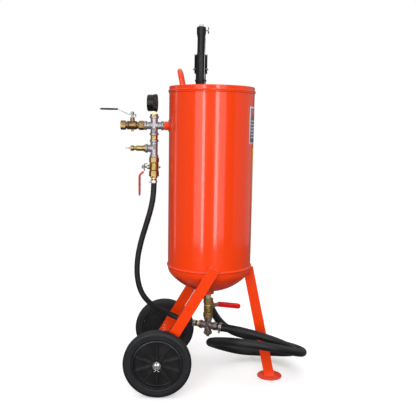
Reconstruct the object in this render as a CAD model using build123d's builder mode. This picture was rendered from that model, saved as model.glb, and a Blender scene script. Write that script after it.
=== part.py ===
"""Portable pressure-pot abrasive blaster: tank on two wheels and a foot, air manifold, hoses and gun.

Frame: +Z up from the floor, X from the inlet valve side to the foot side, origin at the centre
of the footprint.  All sizes are in millimetres.  The tank stands at X = tank_x.
"""
from math import atan2, cos, pi, radians, sin, sqrt, tan
import os

from build123d import *

os.makedirs("parts", exist_ok=True)

# Overall sizes
lever_reach = 428.5        # tank axis to the tip of the inlet lever
foot_centre = 253.0        # tank axis to the centre of the foot plate
foot_radius = 49.0
tank_x = (lever_reach - foot_centre - foot_radius) / 2

# Tank
tank_radius = 162.5
tank_wall = 4.0
rim_height = 1146.0
head_height = 1125.0       # weld that joins the top head to the shell
seam_height = 452.0        # weld that joins the bottom head to the shell
bottom_height = 355.0      # lowest point of the bottom head
weld_height = 9.0
weld_rise = 2.5
filler_radius = 30.0
filler_bore = 24.0
filler_top = 1102.0
dish_drop = 46.0           # how far the top head sinks towards the filler
knuckle_radius = 40.0      # of the bottom head, where it turns up to the shell

# Undercarriage
tube_wide = 40.0
tube_thick = 20.0
tube_wall = 2.0
leg_inner = 161.5          # inner face of each rear leg, from the middle plane
wheel_radius = 127.0
wheel_width = 40.0
wheel_plane = 204.5
axle_x = -186.5
axle_radius = 8.0
axle_half = 240.0
foot_thick = 4.0

# Manifold
port_height = 998.0
pipe_radius = 10.5         # bore of the 1/2 in pipe fittings
thread_radius = 10.4
cross_x = -219.5
tee_height = 910.8
inlet_x = -302.9           # middle of the inlet valve
inlet_half = 44.5          # half the length of each valve's body
hose_valve_height = 839.5
hose_valve_half = 36.5
outlet_height = 281.8
outlet_half = 38.5

# Bottom fittings
mixer_height = 208.8
mixer_turn = radians(-25)
mixer_arm = 34.0

# Hoses
air_hose_radius = 11.0
blast_hose_radius = 16.0

# Gun
gun_x = -46.0
gun_y = 192.0
gun_bottom = 1096.0
pin_height = gun_bottom + 137.0    # lever's pin
pin_y = gun_y + 14.0


def at(x, y, z):
    """A point given from the foot of the tank's axis."""
    return Vector(tank_x + x, y, z)


def round_frame(start, along):
    """Plane for half a section: local Y runs along the axis, local X is the radius."""
    along = Vector(*along).normalized()
    side = Vector(0, 1, 0) if abs(along.Y) < 0.9 else Vector(0, 0, 1)
    across = along.cross(side).normalized()
    return Plane(origin=start, x_dir=across, z_dir=across.cross(along))


def turned(start, along, outline):
    """A round piece from (radius, distance) points turned about the axis through start."""
    with BuildPart() as piece:
        with BuildSketch(round_frame(start, along)):
            with BuildLine():
                Polyline(*outline, close=True)
            make_face()
        revolve(axis=Axis(start, Vector(*along)))
    return piece


def ring(start, along, inner, outer, length):
    """A plain ring, washer or tube."""
    return turned(start, along, [(inner, 0), (outer, 0), (outer, length), (inner, length)])


def hexagon(start, along, across_flats, length, bore):
    """A hexagonal length of bar with a hole along it."""
    with BuildPart() as piece:
        with BuildSketch(Plane(origin=start, z_dir=Vector(*along))):
            RegularPolygon(across_flats / 2, 6, major_radius=False)
            if bore:
                Circle(bore, mode=Mode.SUBTRACT)
        extrude(amount=length)
    return piece


def write(piece, label):
    """Name a finished piece and write its STEP file."""
    piece.part.label = label
    export_step(piece.part, f"parts/{label}.step")


# ---------------------------------------------------------------- tank
# Rolled shell with a raised weld bead at each end of the pressure space and a skirt above.
inner = tank_radius - tank_wall


def bead(height):
    """Outline of one weld bead on the outside of the shell, from below to above."""
    half = weld_height / 2
    return [
        (tank_radius, height - half),
        (tank_radius + weld_rise * 0.8, height - half * 0.5),
        (tank_radius + weld_rise, height),
        (tank_radius + weld_rise * 0.8, height + half * 0.5),
        (tank_radius, height + half),
    ]


shell_outline = [(inner, seam_height), (tank_radius, seam_height)]
shell_outline += bead(seam_height + 8) + bead(head_height)
shell_outline += [
    (tank_radius, rim_height - 2),
    (tank_radius - 1.2, rim_height),
    (inner + 1.2, rim_height),
    (inner, rim_height - 2),
]
tank_shell = turned(at(0, 0, 0), (0, 0, 1), shell_outline)
write(tank_shell, "tank_shell")

# Dished bottom head: a spherical crown that a tight knuckle joins to the shell.
head_depth = seam_height - bottom_height
knuckle_out = tank_radius - knuckle_radius
crown_radius = (head_depth**2 + knuckle_out**2 - knuckle_radius**2) / (2 * (head_depth - knuckle_radius))
knuckle_start = atan2(bottom_height + crown_radius - seam_height, knuckle_out)


def head_points(inset):
    """Five points from the shell's seam to the pole, on two tangent arcs set in by inset."""
    knuckle = knuckle_radius - inset
    crown = crown_radius - inset
    middle = -knuckle_start / 2
    joint = -knuckle_start
    half = -(knuckle_start + pi / 2) / 2
    crown_centre = bottom_height + crown_radius
    return [
        (tank_radius - inset, seam_height),
        (knuckle_out + knuckle * cos(middle), seam_height + knuckle * sin(middle)),
        (knuckle_out + knuckle * cos(joint), seam_height + knuckle * sin(joint)),
        (crown * cos(half), crown_centre + crown * sin(half)),
        (0, crown_centre - crown),
    ]


outside = head_points(0)
hollow = head_points(tank_wall)
with BuildPart() as bottom_head:
    with BuildSketch(round_frame(at(0, 0, -0.1), (0, 0, 1))):
        with BuildLine():
            ThreePointArc(outside[0], outside[1], outside[2])
            ThreePointArc(outside[2], outside[3], outside[4])
            Line(outside[4], hollow[4])
            ThreePointArc(hollow[4], hollow[3], hollow[2])
            ThreePointArc(hollow[2], hollow[1], hollow[0])
            Line(hollow[0], outside[0])
        make_face()
    revolve(axis=Axis(at(0, 0, 0), Vector(0, 0, 1)))
write(bottom_head, "bottom_head")

# Top head: sinks to the filler in the middle, so that grit poured in runs down into it.
head_rim = head_height - 4
with BuildPart() as top_head:
    with BuildSketch(round_frame(at(0, 0, 0), (0, 0, 1))):
        with BuildLine():
            outer_edge = (inner - 0.1, head_rim)
            inner_edge = (filler_radius + 0.1, head_rim - dish_drop)
            middle = (95, head_rim - dish_drop + 8)
            ThreePointArc(outer_edge, middle, inner_edge)
            Line(inner_edge, (inner_edge[0], inner_edge[1] - tank_wall))
            ThreePointArc(
                (inner_edge[0], inner_edge[1] - tank_wall),
                (middle[0] + 1, middle[1] - tank_wall),
                (outer_edge[0], outer_edge[1] - tank_wall - 3),
            )
            Line((outer_edge[0], outer_edge[1] - tank_wall - 3), outer_edge)
        make_face()
    revolve(axis=Axis(at(0, 0, 0), Vector(0, 0, 1)))
write(top_head, "top_head")

# Filler neck, closed by a screw-in plug that seats on a rubber ring.
neck_bottom = head_rim - dish_drop - 14
filler_neck = ring(at(0, 0, neck_bottom), (0, 0, 1), filler_bore, filler_radius, filler_top - neck_bottom)
write(filler_neck, "filler_neck")

gasket_thick = 3.0
filler_gasket = ring(at(0, 0, filler_top), (0, 0, 1), filler_bore + 0.5, filler_radius - 1, gasket_thick)
write(filler_gasket, "filler_gasket")

cap_seat = filler_top + gasket_thick
with BuildPart() as filler_plug:
    with BuildSketch(Plane.XY.offset(cap_seat)):
        with Locations((tank_x, 0)):
            Circle(filler_radius + 1)
    extrude(amount=8)
    with BuildSketch(Plane.XY.offset(cap_seat + 8)):
        with Locations((tank_x, 0)):
            RegularPolygon(18, 6, major_radius=False)
    extrude(amount=14)
    with BuildSketch(Plane.XY.offset(filler_top - 18)):
        with Locations((tank_x, 0)):
            Circle(filler_bore - 0.08)
    extrude(amount=18 + gasket_thick)
    chamfer(filler_plug.faces().sort_by(Axis.Z)[-1].edges(), 1.5)
write(filler_plug, "filler_plug")

# Bent bar handle whose feet are welded to the top head inside the skirt.
bar_radius = 9.0
handle_foot = (-99, 86, head_rim - 27)
handle_top = (-121, 86, 1200)
with BuildPart() as handle:
    with BuildLine() as handle_line:
        FilletPolyline(
            at(handle_foot[0], -handle_foot[1], handle_foot[2]),
            at(handle_top[0], -handle_top[1], handle_top[2]),
            at(handle_top[0], handle_top[1], handle_top[2]),
            at(handle_foot[0], handle_foot[1], handle_foot[2]),
            radius=38,
        )
    foot_way = at(*handle_top) - at(*handle_foot)
    foot_way = Vector(foot_way.X, 0, foot_way.Z)
    with BuildSketch(Plane(origin=at(handle_foot[0], -handle_foot[1], handle_foot[2]), z_dir=foot_way)):
        Circle(bar_radius)
    sweep(path=handle_line.wires()[0])
write(handle, "handle")

# Stub socket for the air manifold, and the boss under the bottom head.
air_port = turned(
    at(-tank_radius + 2.5, 0, port_height),
    (-1, 0, 0),
    [(pipe_radius, 0), (20.5, 0), (20.5, 1), (16.7, 5), (16.7, 19), (15.7, 19.9), (pipe_radius, 19.9)],
)
write(air_port, "air_port")

outlet_boss = turned(
    at(0, 0, bottom_height + 1.5),
    (0, 0, -1),
    [(pipe_radius, 0), (26, 0), (22, 3.5), (22, 15), (21, 16.5), (pipe_radius, 16.5)],
)
write(outlet_boss, "outlet_boss")

# ---------------------------------------------------------------- legs, axle and foot
leg_top = (18.0, 477.0)
leg_slope = (axle_x - leg_top[0], wheel_radius - leg_top[1])
leg_length = sqrt(leg_slope[0] ** 2 + leg_slope[1] ** 2)
leg_past_axle = 17.0
for side, inner_face in (("near", -leg_inner), ("far", leg_inner + tube_thick)):
    # Square-ended tube, closed at the top, drilled for the axle.
    down = Vector(leg_slope[0], 0, leg_slope[1]).normalized()
    with BuildPart() as rear_leg:
        top_face = Plane(
            origin=at(leg_top[0], inner_face - tube_thick / 2, leg_top[1]), x_dir=(0, 1, 0), z_dir=down
        )
        with BuildSketch(top_face):
            Rectangle(tube_thick, tube_wide)
        extrude(amount=leg_length + leg_past_axle)
        with BuildSketch(top_face.offset(3)):
            Rectangle(tube_thick - 2 * tube_wall, tube_wide - 2 * tube_wall)
        extrude(amount=leg_length + leg_past_axle, mode=Mode.SUBTRACT)
        with BuildSketch(Plane(origin=at(axle_x, inner_face + 1, wheel_radius), z_dir=(0, -1, 0))):
            Circle(axle_radius + 0.15)
        extrude(amount=tube_thick + 2, mode=Mode.SUBTRACT)
    write(rear_leg, f"rear_leg_{side}")

# Front leg: leans out from the seam to the foot plate and is notched around the bottom head.
front_lean = 0.2199
front_top = 451.0
half_wide = tube_wide / 2 * sqrt(1 + front_lean**2)
wall_wide = tube_wall * sqrt(1 + front_lean**2)
with BuildPart() as front_leg:
    for trim, bottom, thick, mode in (
        (0, foot_thick, tube_thick, Mode.ADD),
        (wall_wide, foot_thick - 5, tube_thick - 2 * tube_wall, Mode.SUBTRACT),
    ):
        upper = front_top if trim == 0 else front_top - 60
        with BuildSketch(Plane(origin=at(0, 0, 0), x_dir=(1, 0, 0), z_dir=(0, -1, 0))):
            with BuildLine():
                Polyline(
                    (foot_centre - front_lean * bottom - half_wide + trim, bottom),
                    (foot_centre - front_lean * bottom + half_wide - trim, bottom),
                    (foot_centre - front_lean * upper + half_wide - trim, upper),
                    (foot_centre - front_lean * upper - half_wide + trim, upper),
                    close=True,
                )
            make_face()
        extrude(amount=thick / 2, both=True, mode=mode)
    notch = head_points(-0.3)
    with BuildSketch(round_frame(at(0, 0, 0), (0, 0, 1))):
        with BuildLine():
            Polyline(notch[4], (0, front_top + 9), (notch[0][0], front_top + 9), notch[0])
            ThreePointArc(notch[0], notch[1], notch[2])
            ThreePointArc(notch[2], notch[3], notch[4])
        make_face()
    revolve(axis=Axis(at(0, 0, 0), Vector(0, 0, 1)), mode=Mode.SUBTRACT)
write(front_leg, "front_leg")

foot_plate = turned(
    at(foot_centre, 0, 0),
    (0, 0, 1),
    [
        (0, 0), (foot_radius, 0), (foot_radius, foot_thick - 0.8), (foot_radius - 0.8, foot_thick),
        (0, foot_thick),
    ],
)
write(foot_plate, "foot_plate")

# Axle, with a spacer inside each hub, two washers outside it and a split pin through each end.
pin_hole = 1.7
pin_place = axle_half - 5.5
with BuildPart() as axle:
    with BuildSketch(Plane(origin=at(axle_x, -axle_half, wheel_radius), z_dir=(0, 1, 0))):
        Circle(axle_radius)
    extrude(amount=2 * axle_half)
    chamfer(axle.edges().filter_by(GeomType.CIRCLE), 1)
    for end in (-pin_place, pin_place):
        with BuildSketch(Plane(origin=at(axle_x, end, wheel_radius - 12), z_dir=(0, 0, 1))):
            Circle(pin_hole)
        extrude(amount=24, mode=Mode.SUBTRACT)
write(axle, "axle")

hub_half = 22.0
hub_back = 18.0
spacer_from = leg_inner + tube_thick + 0.2
washer_from = wheel_plane + hub_half + 0.3
with BuildPart() as axle_washers:
    for facing in (-1, 1):
        for start, radius, thick in (
            (spacer_from, 12, wheel_plane - hub_back - spacer_from - 0.3),
            (washer_from, 15, 1.8),
            (washer_from + 2.0, 11, 1.8),
        ):
            with BuildSketch(Plane(origin=at(axle_x, facing * start, wheel_radius), z_dir=(0, facing, 0))):
                Circle(radius)
                Circle(axle_radius + 0.1, mode=Mode.SUBTRACT)
            extrude(amount=thick)
write(axle_washers, "axle_washers")

with BuildPart() as split_pins:
    for end in (-pin_place, pin_place):
        with BuildSketch(Plane(origin=at(axle_x, end, wheel_radius - 13), z_dir=(0, 0, 1))):
            Circle(1.6)
        extrude(amount=24)
        with BuildSketch(Plane(origin=at(axle_x, end - 1.2, wheel_radius + 14.5), z_dir=(0, 1, 0))):
            Circle(5)
            Circle(2.2, mode=Mode.SUBTRACT)
        extrude(amount=2.4)
        for lean in (-1, 1):
            with BuildSketch(Plane(origin=at(axle_x, end, wheel_radius - 11), z_dir=(lean * 0.75, 0, -0.66))):
                Circle(1.1)
            extrude(amount=13)
write(split_pins, "split_pins")

# ---------------------------------------------------------------- wheels
rim_radius = 0.735 * wheel_radius
hub_core = 19.0
rib_count = 10
for side, facing in (("near", -1), ("far", 1)):
    middle = facing * wheel_plane
    half = wheel_width / 2
    # Solid rubber tyre with a rounded tread.
    with BuildPart() as tyre:
        with BuildSketch(round_frame(at(axle_x, middle, wheel_radius), (0, facing, 0))):
            with BuildLine():
                Line((rim_radius, -half + 3), (rim_radius + 5, -half))
                Line((rim_radius + 5, -half), (wheel_radius - 12, -half))
                ThreePointArc(
                    (wheel_radius - 12, -half), (wheel_radius - 3.5, -half + 5), (wheel_radius, -half + 14)
                )
                Line((wheel_radius, -half + 14), (wheel_radius, half - 14))
                ThreePointArc(
                    (wheel_radius, half - 14), (wheel_radius - 3.5, half - 5), (wheel_radius - 12, half)
                )
                Line((wheel_radius - 12, half), (rim_radius + 5, half))
                Line((rim_radius + 5, half), (rim_radius, half - 3))
                Line((rim_radius, half - 3), (rim_radius, -half + 3))
            make_face()
        revolve(axis=Axis(at(axle_x, middle, wheel_radius), Vector(0, facing, 0)))
    write(tyre, f"tyre_{side}")
    # Moulded hub: rim barrel, web behind, radial ribs and a bored boss.
    barrel = rim_radius - 0.2
    with BuildPart() as hub:
        with BuildSketch(round_frame(at(axle_x, middle, wheel_radius), (0, facing, 0))):
            with BuildLine():
                Polyline(
                    (axle_radius + 0.06, -hub_back),
                    (hub_core, -hub_back),
                    (hub_core, -6),
                    (barrel - 5, -6),
                    (barrel - 5, -half + 4),
                    (barrel, -half + 4),
                    (barrel, half - 4),
                    (barrel - 5, half - 3),
                    (barrel - 7, -1),
                    (hub_core - 1, -1),
                    (hub_core - 3, hub_half),
                    (axle_radius + 0.06, hub_half),
                    close=True,
                )
            make_face()
        revolve(axis=Axis(at(axle_x, middle, wheel_radius), Vector(0, facing, 0)))
        for turn in range(rib_count):
            angle = 2 * pi * (turn + 0.5) / rib_count
            outward = Vector(cos(angle), 0, sin(angle))
            face = Plane(origin=at(axle_x, middle, wheel_radius), x_dir=outward, z_dir=(0, facing, 0))
            with BuildSketch(face.offset(-3)):
                with Locations(((hub_core + barrel - 6) / 2 - 1, 0)):
                    Rectangle(barrel - hub_core, 3)
            extrude(amount=13)
    write(hub, f"hub_{side}")

# ---------------------------------------------------------------- manifold fittings


def pipe_fitting(centre, turn, arms, reach, collar):
    """Malleable iron fitting: an arm with a raised collar along each listed direction."""
    with BuildPart() as fitting:
        for along in arms:
            along = Vector(along[0] * cos(turn), along[0] * sin(turn), along[1])
            with BuildSketch(round_frame(centre, (along.X, along.Y, along.Z))):
                with BuildLine():
                    Polyline(
                        (0, 0),
                        (14, 0),
                        (14, reach - 10),
                        (collar - 1, reach - 9),
                        (collar, reach - 8),
                        (collar, reach - 1.5),
                        (collar - 1.2, reach),
                        (0, reach),
                        close=True,
                    )
                make_face()
            revolve(axis=Axis(centre, along))
        for along in arms:
            along = Vector(along[0] * cos(turn), along[0] * sin(turn), along[1])
            with BuildSketch(Plane(origin=centre, z_dir=along)):
                Circle(pipe_radius)
            extrude(amount=reach + 1, mode=Mode.SUBTRACT)
    return fitting


cross_centre = at(cross_x, 0, port_height)
cross_reach = 37.0
manifold_cross = pipe_fitting(cross_centre, 0, [(1, 0), (-1, 0), (0, 1), (0, -1)], cross_reach, 17.5)
write(manifold_cross, "manifold_cross")


def hex_nipple(start, along, length, across):
    """Threaded nipple of which a short hexagon shows between two fittings."""
    start = Vector(*start)
    along = Vector(*along).normalized()
    tail = start - along * 11
    with BuildPart() as nipple:
        with BuildSketch(Plane(origin=tail, z_dir=along)):
            Circle(thread_radius)
        extrude(amount=length + 22)
        with BuildSketch(Plane(origin=start + along * 0.1, z_dir=along)):
            RegularPolygon(across / 2, 6, major_radius=False)
        extrude(amount=length - 0.2)
        with BuildSketch(Plane(origin=tail, z_dir=along)):
            Circle(7.5)
        extrude(amount=length + 22, mode=Mode.SUBTRACT)
    return nipple


port_gap = (-tank_radius + 2.5 - 19.9) - (cross_x + cross_reach)
port_nipple = hex_nipple(
    at(cross_x + cross_reach, 0, port_height), (1, 0, 0), abs(port_gap), 24
)

upper_nipple_top = port_height - cross_reach
tee_reach = 34.0
upper_nipple = hex_nipple(
    at(cross_x, 0, tee_height + tee_reach), (0, 0, 1), upper_nipple_top - tee_height - tee_reach, 24
)

manifold_tee = pipe_fitting(at(cross_x, 0, tee_height), 0, [(-1, 0), (0, 1), (0, -1)], tee_reach, 17.0)
write(manifold_tee, "manifold_tee")

# ---------------------------------------------------------------- pressure gauge
bushing_bottom = port_height + cross_reach
with BuildPart() as gauge_bushing:
    with BuildSketch(Plane(origin=at(cross_x, 0, bushing_bottom - 10), z_dir=(0, 0, 1))):
        Circle(thread_radius)
    extrude(amount=10.2)
    with BuildSketch(Plane(origin=at(cross_x, 0, bushing_bottom + 0.1), z_dir=(0, 0, 1))):
        RegularPolygon(13, 6, major_radius=False)
    extrude(amount=7)
    with BuildSketch(Plane(origin=at(cross_x, 0, bushing_bottom - 10), z_dir=(0, 0, 1))):
        Circle(5.5)
    extrude(amount=20, mode=Mode.SUBTRACT)
write(gauge_bushing, "gauge_bushing")

gauge_radius = 32.5
gauge_height = 1083.5
gauge_turn = radians(-3)
gauge_face = Vector(cos(gauge_turn), sin(gauge_turn), 0)
gauge_depth = 34.0
gauge_centre = at(cross_x - 4, 0, gauge_height)
gauge_back = gauge_centre - gauge_face * 21
with BuildPart() as gauge_stem:
    with BuildSketch(Plane(origin=at(cross_x, 0, bushing_bottom - 4), z_dir=(0, 0, 1))):
        Circle(5.3)
    extrude(amount=12)
    with BuildSketch(Plane(origin=at(cross_x, 0, bushing_bottom + 7.2), x_dir=gauge_face, z_dir=(0, 0, 1))):
        Rectangle(14, 14)
    extrude(amount=10.5)
    with BuildSketch(round_frame(gauge_back, (gauge_face.X, gauge_face.Y, 0))):
        with BuildLine():
            Polyline((0, -1), (gauge_radius + 0.15, -1), (gauge_radius + 0.15, 60), (0, 60), close=True)
        make_face()
    revolve(axis=Axis(gauge_back, gauge_face), mode=Mode.SUBTRACT)
write(gauge_stem, "gauge_stem")

gauge_case = turned(
    gauge_back,
    (gauge_face.X, gauge_face.Y, 0),
    [
        (0, 0), (gauge_radius - 3, 0), (gauge_radius - 1, 2), (gauge_radius - 1, 27), (gauge_radius, 28),
        (gauge_radius, gauge_depth), (gauge_radius - 3, gauge_depth + 1.5), (gauge_radius - 3, 22), (0, 22),
    ],
)
write(gauge_case, "gauge_case")

gauge_dial = turned(
    gauge_back,
    (gauge_face.X, gauge_face.Y, 0),
    [(0, 22.1), (gauge_radius - 3.2, 22.1), (gauge_radius - 3.2, 23.3), (0, 23.3)],
)
write(gauge_dial, "gauge_dial")

gauge_lens = turned(
    gauge_back,
    (gauge_face.X, gauge_face.Y, 0),
    [(0, 31.5), (gauge_radius - 3.2, 31.5), (gauge_radius - 3.2, 34.5), (gauge_radius - 8, 35.4), (0, 36)],
)
write(gauge_lens, "gauge_lens")

# The pointer rests at zero, down and to the left of the dial's middle.
pointer_angle = radians(225)
pointer_side = Vector(0, 0, 1).cross(gauge_face)
pointer_way = pointer_side * cos(pointer_angle) + Vector(0, 0, 1) * sin(pointer_angle)
with BuildPart() as gauge_pointer:
    pointer_plane = Plane(origin=gauge_back + gauge_face * 26, x_dir=pointer_way, z_dir=gauge_face)
    with BuildSketch(pointer_plane):
        Circle(3)
        with BuildLine():
            Polyline((-9, -1.3), (23, -0.5), (23, 0.5), (-9, 1.3), close=True)
        make_face()
    extrude(amount=1)
    with BuildSketch(pointer_plane.offset(-1.5)):
        Circle(1.5)
    extrude(amount=1.5)
write(gauge_pointer, "gauge_pointer")

# ---------------------------------------------------------------- safety valve
valve_seat = cross_x - tee_reach
safety_body = turned(
    at(valve_seat, 0, tee_height),
    (-1, 0, 0),
    [
        (4, -10), (thread_radius, -10), (thread_radius, 0.1), (13, 0.1), (13, 6), (9, 7.5), (10.5, 9),
        (10.5, 33), (7.5, 36), (7.5, 42), (10.5, 45), (11, 49), (10, 56.5), (2.1, 56.5), (2.1, 44), (4, 44),
    ],
)
write(safety_body, "safety_valve_body")

with BuildPart() as safety_stem:
    with BuildSketch(Plane(origin=at(valve_seat - 40, 0, tee_height), z_dir=(-1, 0, 0))):
        Circle(2.02)
    extrude(amount=24)
    ring_centre = at(valve_seat - 69.5, 0, tee_height)
    with BuildSketch(Plane(origin=ring_centre, z_dir=(0, 0, 1)).offset(-1)):
        Circle(7.5)
        Circle(5, mode=Mode.SUBTRACT)
    extrude(amount=2)
write(safety_stem, "safety_valve_stem")

# ---------------------------------------------------------------- ball valves
ball_radius = 12.0
ball_bore = 8.0
spindle_radius = 4.0
plate_thick = 2.5


def ball_valve(name, centre, flow, spindle, lever, half_length, body_radius, arm):
    """Ball valve: body, ball on its spindle with the nut, bent lever and vinyl sleeve.

    flow is the pipe's way, spindle the way the spindle stands and lever where the handle points.
    """
    flow = Vector(*flow).normalized()
    spindle = Vector(*spindle).normalized()
    lever = Vector(*lever).normalized()
    flats = 2 * body_radius - 2
    base = arm["stand"]
    neck_reach = base - 10
    with BuildPart() as body:
        with BuildSketch(round_frame(centre, (flow.X, flow.Y, flow.Z))):
            with BuildLine():
                Polyline(
                    (0, -half_length + 3),
                    (body_radius - 3, -half_length + 3),
                    (body_radius - 3, -18),
                    (body_radius, -14),
                    (body_radius, 10),
                    (body_radius - 1.5, 14),
                    (body_radius + 0.5, 15),
                    (body_radius + 0.5, 19),
                    (body_radius - 3, 20),
                    (body_radius - 3, half_length - 3),
                    (0, half_length - 3),
                    close=True,
                )
            make_face()
        revolve(axis=Axis(centre, flow))
        for way in (-1, 1):
            with BuildSketch(Plane(origin=centre + flow * (way * (half_length - 19)), z_dir=flow * way)):
                RegularPolygon(flats / 2, 6, major_radius=False)
            extrude(amount=19)
        with BuildSketch(Plane(origin=centre, z_dir=spindle)):
            Circle(8.5)
        extrude(amount=neck_reach - 6)
        with BuildSketch(Plane(origin=centre + spindle * (neck_reach - 6), z_dir=spindle)):
            RegularPolygon(7.5, 6, major_radius=False)
        extrude(amount=6)
        with BuildSketch(Plane(origin=centre, z_dir=spindle * -1)):
            Circle(4.5)
        extrude(amount=body_radius + 7)
        with BuildSketch(Plane(origin=centre - flow * half_length, z_dir=flow)):
            Circle(ball_bore)
        extrude(amount=2 * half_length, mode=Mode.SUBTRACT)
        for way in (-1, 1):
            with BuildSketch(Plane(origin=centre + flow * (way * (half_length - 13)), z_dir=flow * way)):
                Circle(pipe_radius)
            extrude(amount=14, mode=Mode.SUBTRACT)
        with Locations(Location(centre)):
            Sphere(ball_radius + 0.4, mode=Mode.SUBTRACT)
        with BuildSketch(Plane(origin=centre, z_dir=spindle)):
            Circle(spindle_radius + 0.05)
        extrude(amount=neck_reach + 1, mode=Mode.SUBTRACT)
    write(body, f"{name}_valve_body")

    port = lever if arm["open"] else spindle.cross(lever)
    with BuildPart() as ball:
        with Locations(Location(centre)):
            Sphere(ball_radius)
        with BuildSketch(Plane(origin=centre - port * 15, z_dir=port)):
            Circle(ball_bore)
        extrude(amount=30, mode=Mode.SUBTRACT)
        with BuildSketch(Plane(origin=centre + spindle * 10.2, z_dir=spindle)):
            Circle(spindle_radius)
        extrude(amount=base - 10.2 + 12)

    side = spindle.cross(lever)
    profile = Plane(origin=centre, x_dir=lever, z_dir=lever.cross(spindle))
    rise, run, tip = arm["rise"], arm["run"], arm["tip"]
    grip_end = tip - 2.5
    with BuildPart() as plate:
        with BuildSketch(profile):
            with BuildLine():
                Polyline(
                    (-13, base), (16, base), (run, base + rise), (grip_end, base + rise),
                    (grip_end, base + rise + plate_thick), (run - 1, base + rise + plate_thick),
                    (15, base + plate_thick), (-13, base + plate_thick), close=True,
                )
            make_face()
        extrude(amount=arm["width"] / 2, both=True)
        with BuildSketch(Plane(origin=centre + spindle * base, x_dir=lever, z_dir=spindle)):
            Rectangle(26, 25)
        extrude(amount=plate_thick)
        # Turned-down ears that meet the stops on the body.
        for way in (-1, 1):
            hub_start = centre + spindle * base - lever * 13
            with BuildSketch(Plane(origin=hub_start, x_dir=lever, z_dir=spindle * -1)):
                with Locations((1.25, way * 8.5)):
                    Rectangle(2.5, 7)
            extrude(amount=9)
        with BuildSketch(Plane(origin=centre + spindle * (base - 1), z_dir=spindle)):
            Circle(spindle_radius + 0.1)
        extrude(amount=plate_thick + 2, mode=Mode.SUBTRACT)
    write(plate, f"{name}_valve_lever")

    skin = arm["skin"]
    with BuildPart() as sleeve:
        with BuildSketch(profile):
            with BuildLine():
                Polyline(
                    (run + 1, base + rise - skin), (tip, base + rise - skin),
                    (tip, base + rise + plate_thick + skin),
                    (run + 1, base + rise + plate_thick + skin), close=True,
                )
            make_face()
        extrude(amount=arm["width"] / 2 + skin, both=True)
        fillet(sleeve.edges().filter_by(lambda edge: abs(edge.tangent_at(0.5).dot(lever)) > 0.9), skin)
        with BuildSketch(profile):
            with BuildLine():
                Polyline(
                    (run - 9, base + rise - 0.1), (grip_end + 0.1, base + rise - 0.1),
                    (grip_end + 0.1, base + rise + plate_thick + 0.1),
                    (run - 9, base + rise + plate_thick + 0.1), close=True,
                )
            make_face()
        extrude(amount=arm["width"] / 2 + 0.1, both=True, mode=Mode.SUBTRACT)
    write(sleeve, f"{name}_valve_sleeve")

    nut_start = centre + spindle * (base + plate_thick + 0.1)
    nut = hexagon(nut_start, (spindle.X, spindle.Y, spindle.Z), 12, 7, 4.1)
    with BuildPart() as ball_and_nut:
        add(ball.part)
        add(nut.part)
    write(ball_and_nut, f"{name}_valve_spindle")


inlet_centre = at(inlet_x, 0, port_height)
inlet_arm = {
    "stand": 40.0, "rise": 19.0, "run": 57.0, "tip": lever_reach + inlet_x,
    "width": 15, "skin": 2.2, "open": True,
}
ball_valve("inlet", inlet_centre, (-1, 0, 0), (0, 0, 1), (-1, 0, 0), inlet_half, 16.5, inlet_arm)

hose_valve_centre = at(cross_x, 0, hose_valve_height)
hose_arm = {"stand": 36.0, "rise": 18.5, "run": 33.0, "tip": 113.5, "width": 16, "skin": 2.6, "open": True}
ball_valve("hose", hose_valve_centre, (0, 0, -1), (-1, 0, 0), (0, 0, -1), hose_valve_half, 17.8, hose_arm)

outlet_centre = at(0, 0, outlet_height)
outlet_turn = radians(-16)
outlet_lever = (cos(outlet_turn), sin(outlet_turn), 0)
outlet_spindle = (-sin(outlet_turn), cos(outlet_turn), 0)
outlet_arm = {"stand": 38.0, "rise": 18.0, "run": 31.0, "tip": 119.5, "width": 17, "skin": 2.8, "open": False}
ball_valve("outlet", outlet_centre, (0, 0, 1), outlet_spindle, outlet_lever, outlet_half, 18.0, outlet_arm)

inlet_gap = (cross_x - cross_reach) - (inlet_x + inlet_half)
inlet_nipple = hex_nipple(at(cross_x - cross_reach - inlet_gap, 0, port_height), (1, 0, 0), inlet_gap, 24)

tee_gap = (tee_height - tee_reach) - (hose_valve_height + hose_valve_half)
hose_nipple = hex_nipple(at(cross_x, 0, hose_valve_height + hose_valve_half), (0, 0, 1), tee_gap, 24)
with BuildPart() as manifold_nipples:
    for nipple in (port_nipple, upper_nipple, inlet_nipple, hose_nipple):
        add(nipple.part)
write(manifold_nipples, "manifold_nipples")

boss_bottom = bottom_height + 1.5 - 16.5
outlet_gap = boss_bottom - (outlet_height + outlet_half)
outlet_nipple_start = at(0, 0, outlet_height + outlet_half + 0.1 - 11)
outlet_nipple = ring(outlet_nipple_start, (0, 0, 1), 7.5, thread_radius, outlet_gap + 22)
write(outlet_nipple, "outlet_nipple")

# ---------------------------------------------------------------- mixing cross and hose ends
mixer_centre = at(0, 0, mixer_height)
mixing_cross = pipe_fitting(
    mixer_centre, mixer_turn, [(1, 0), (-1, 0), (0, 1), (0, -1)], mixer_arm, 17.0
)
write(mixing_cross, "mixing_cross")

with BuildPart() as cleanout_plug:
    with BuildSketch(Plane(origin=mixer_centre - Vector(0, 0, mixer_arm - 12), z_dir=(0, 0, -1))):
        Circle(thread_radius)
    extrude(amount=12.2)
    with BuildSketch(Plane(origin=mixer_centre - Vector(0, 0, mixer_arm + 0.1), z_dir=(0, 0, -1))):
        Circle(13)
    extrude(amount=3)
    with BuildSketch(Plane(origin=mixer_centre - Vector(0, 0, mixer_arm + 3.1), z_dir=(0, 0, -1))):
        Rectangle(12, 12)
    extrude(amount=8)
write(cleanout_plug, "cleanout_plug")

mixer_way = Vector(cos(mixer_turn), sin(mixer_turn), 0)
barb_length = 11.0


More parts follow.
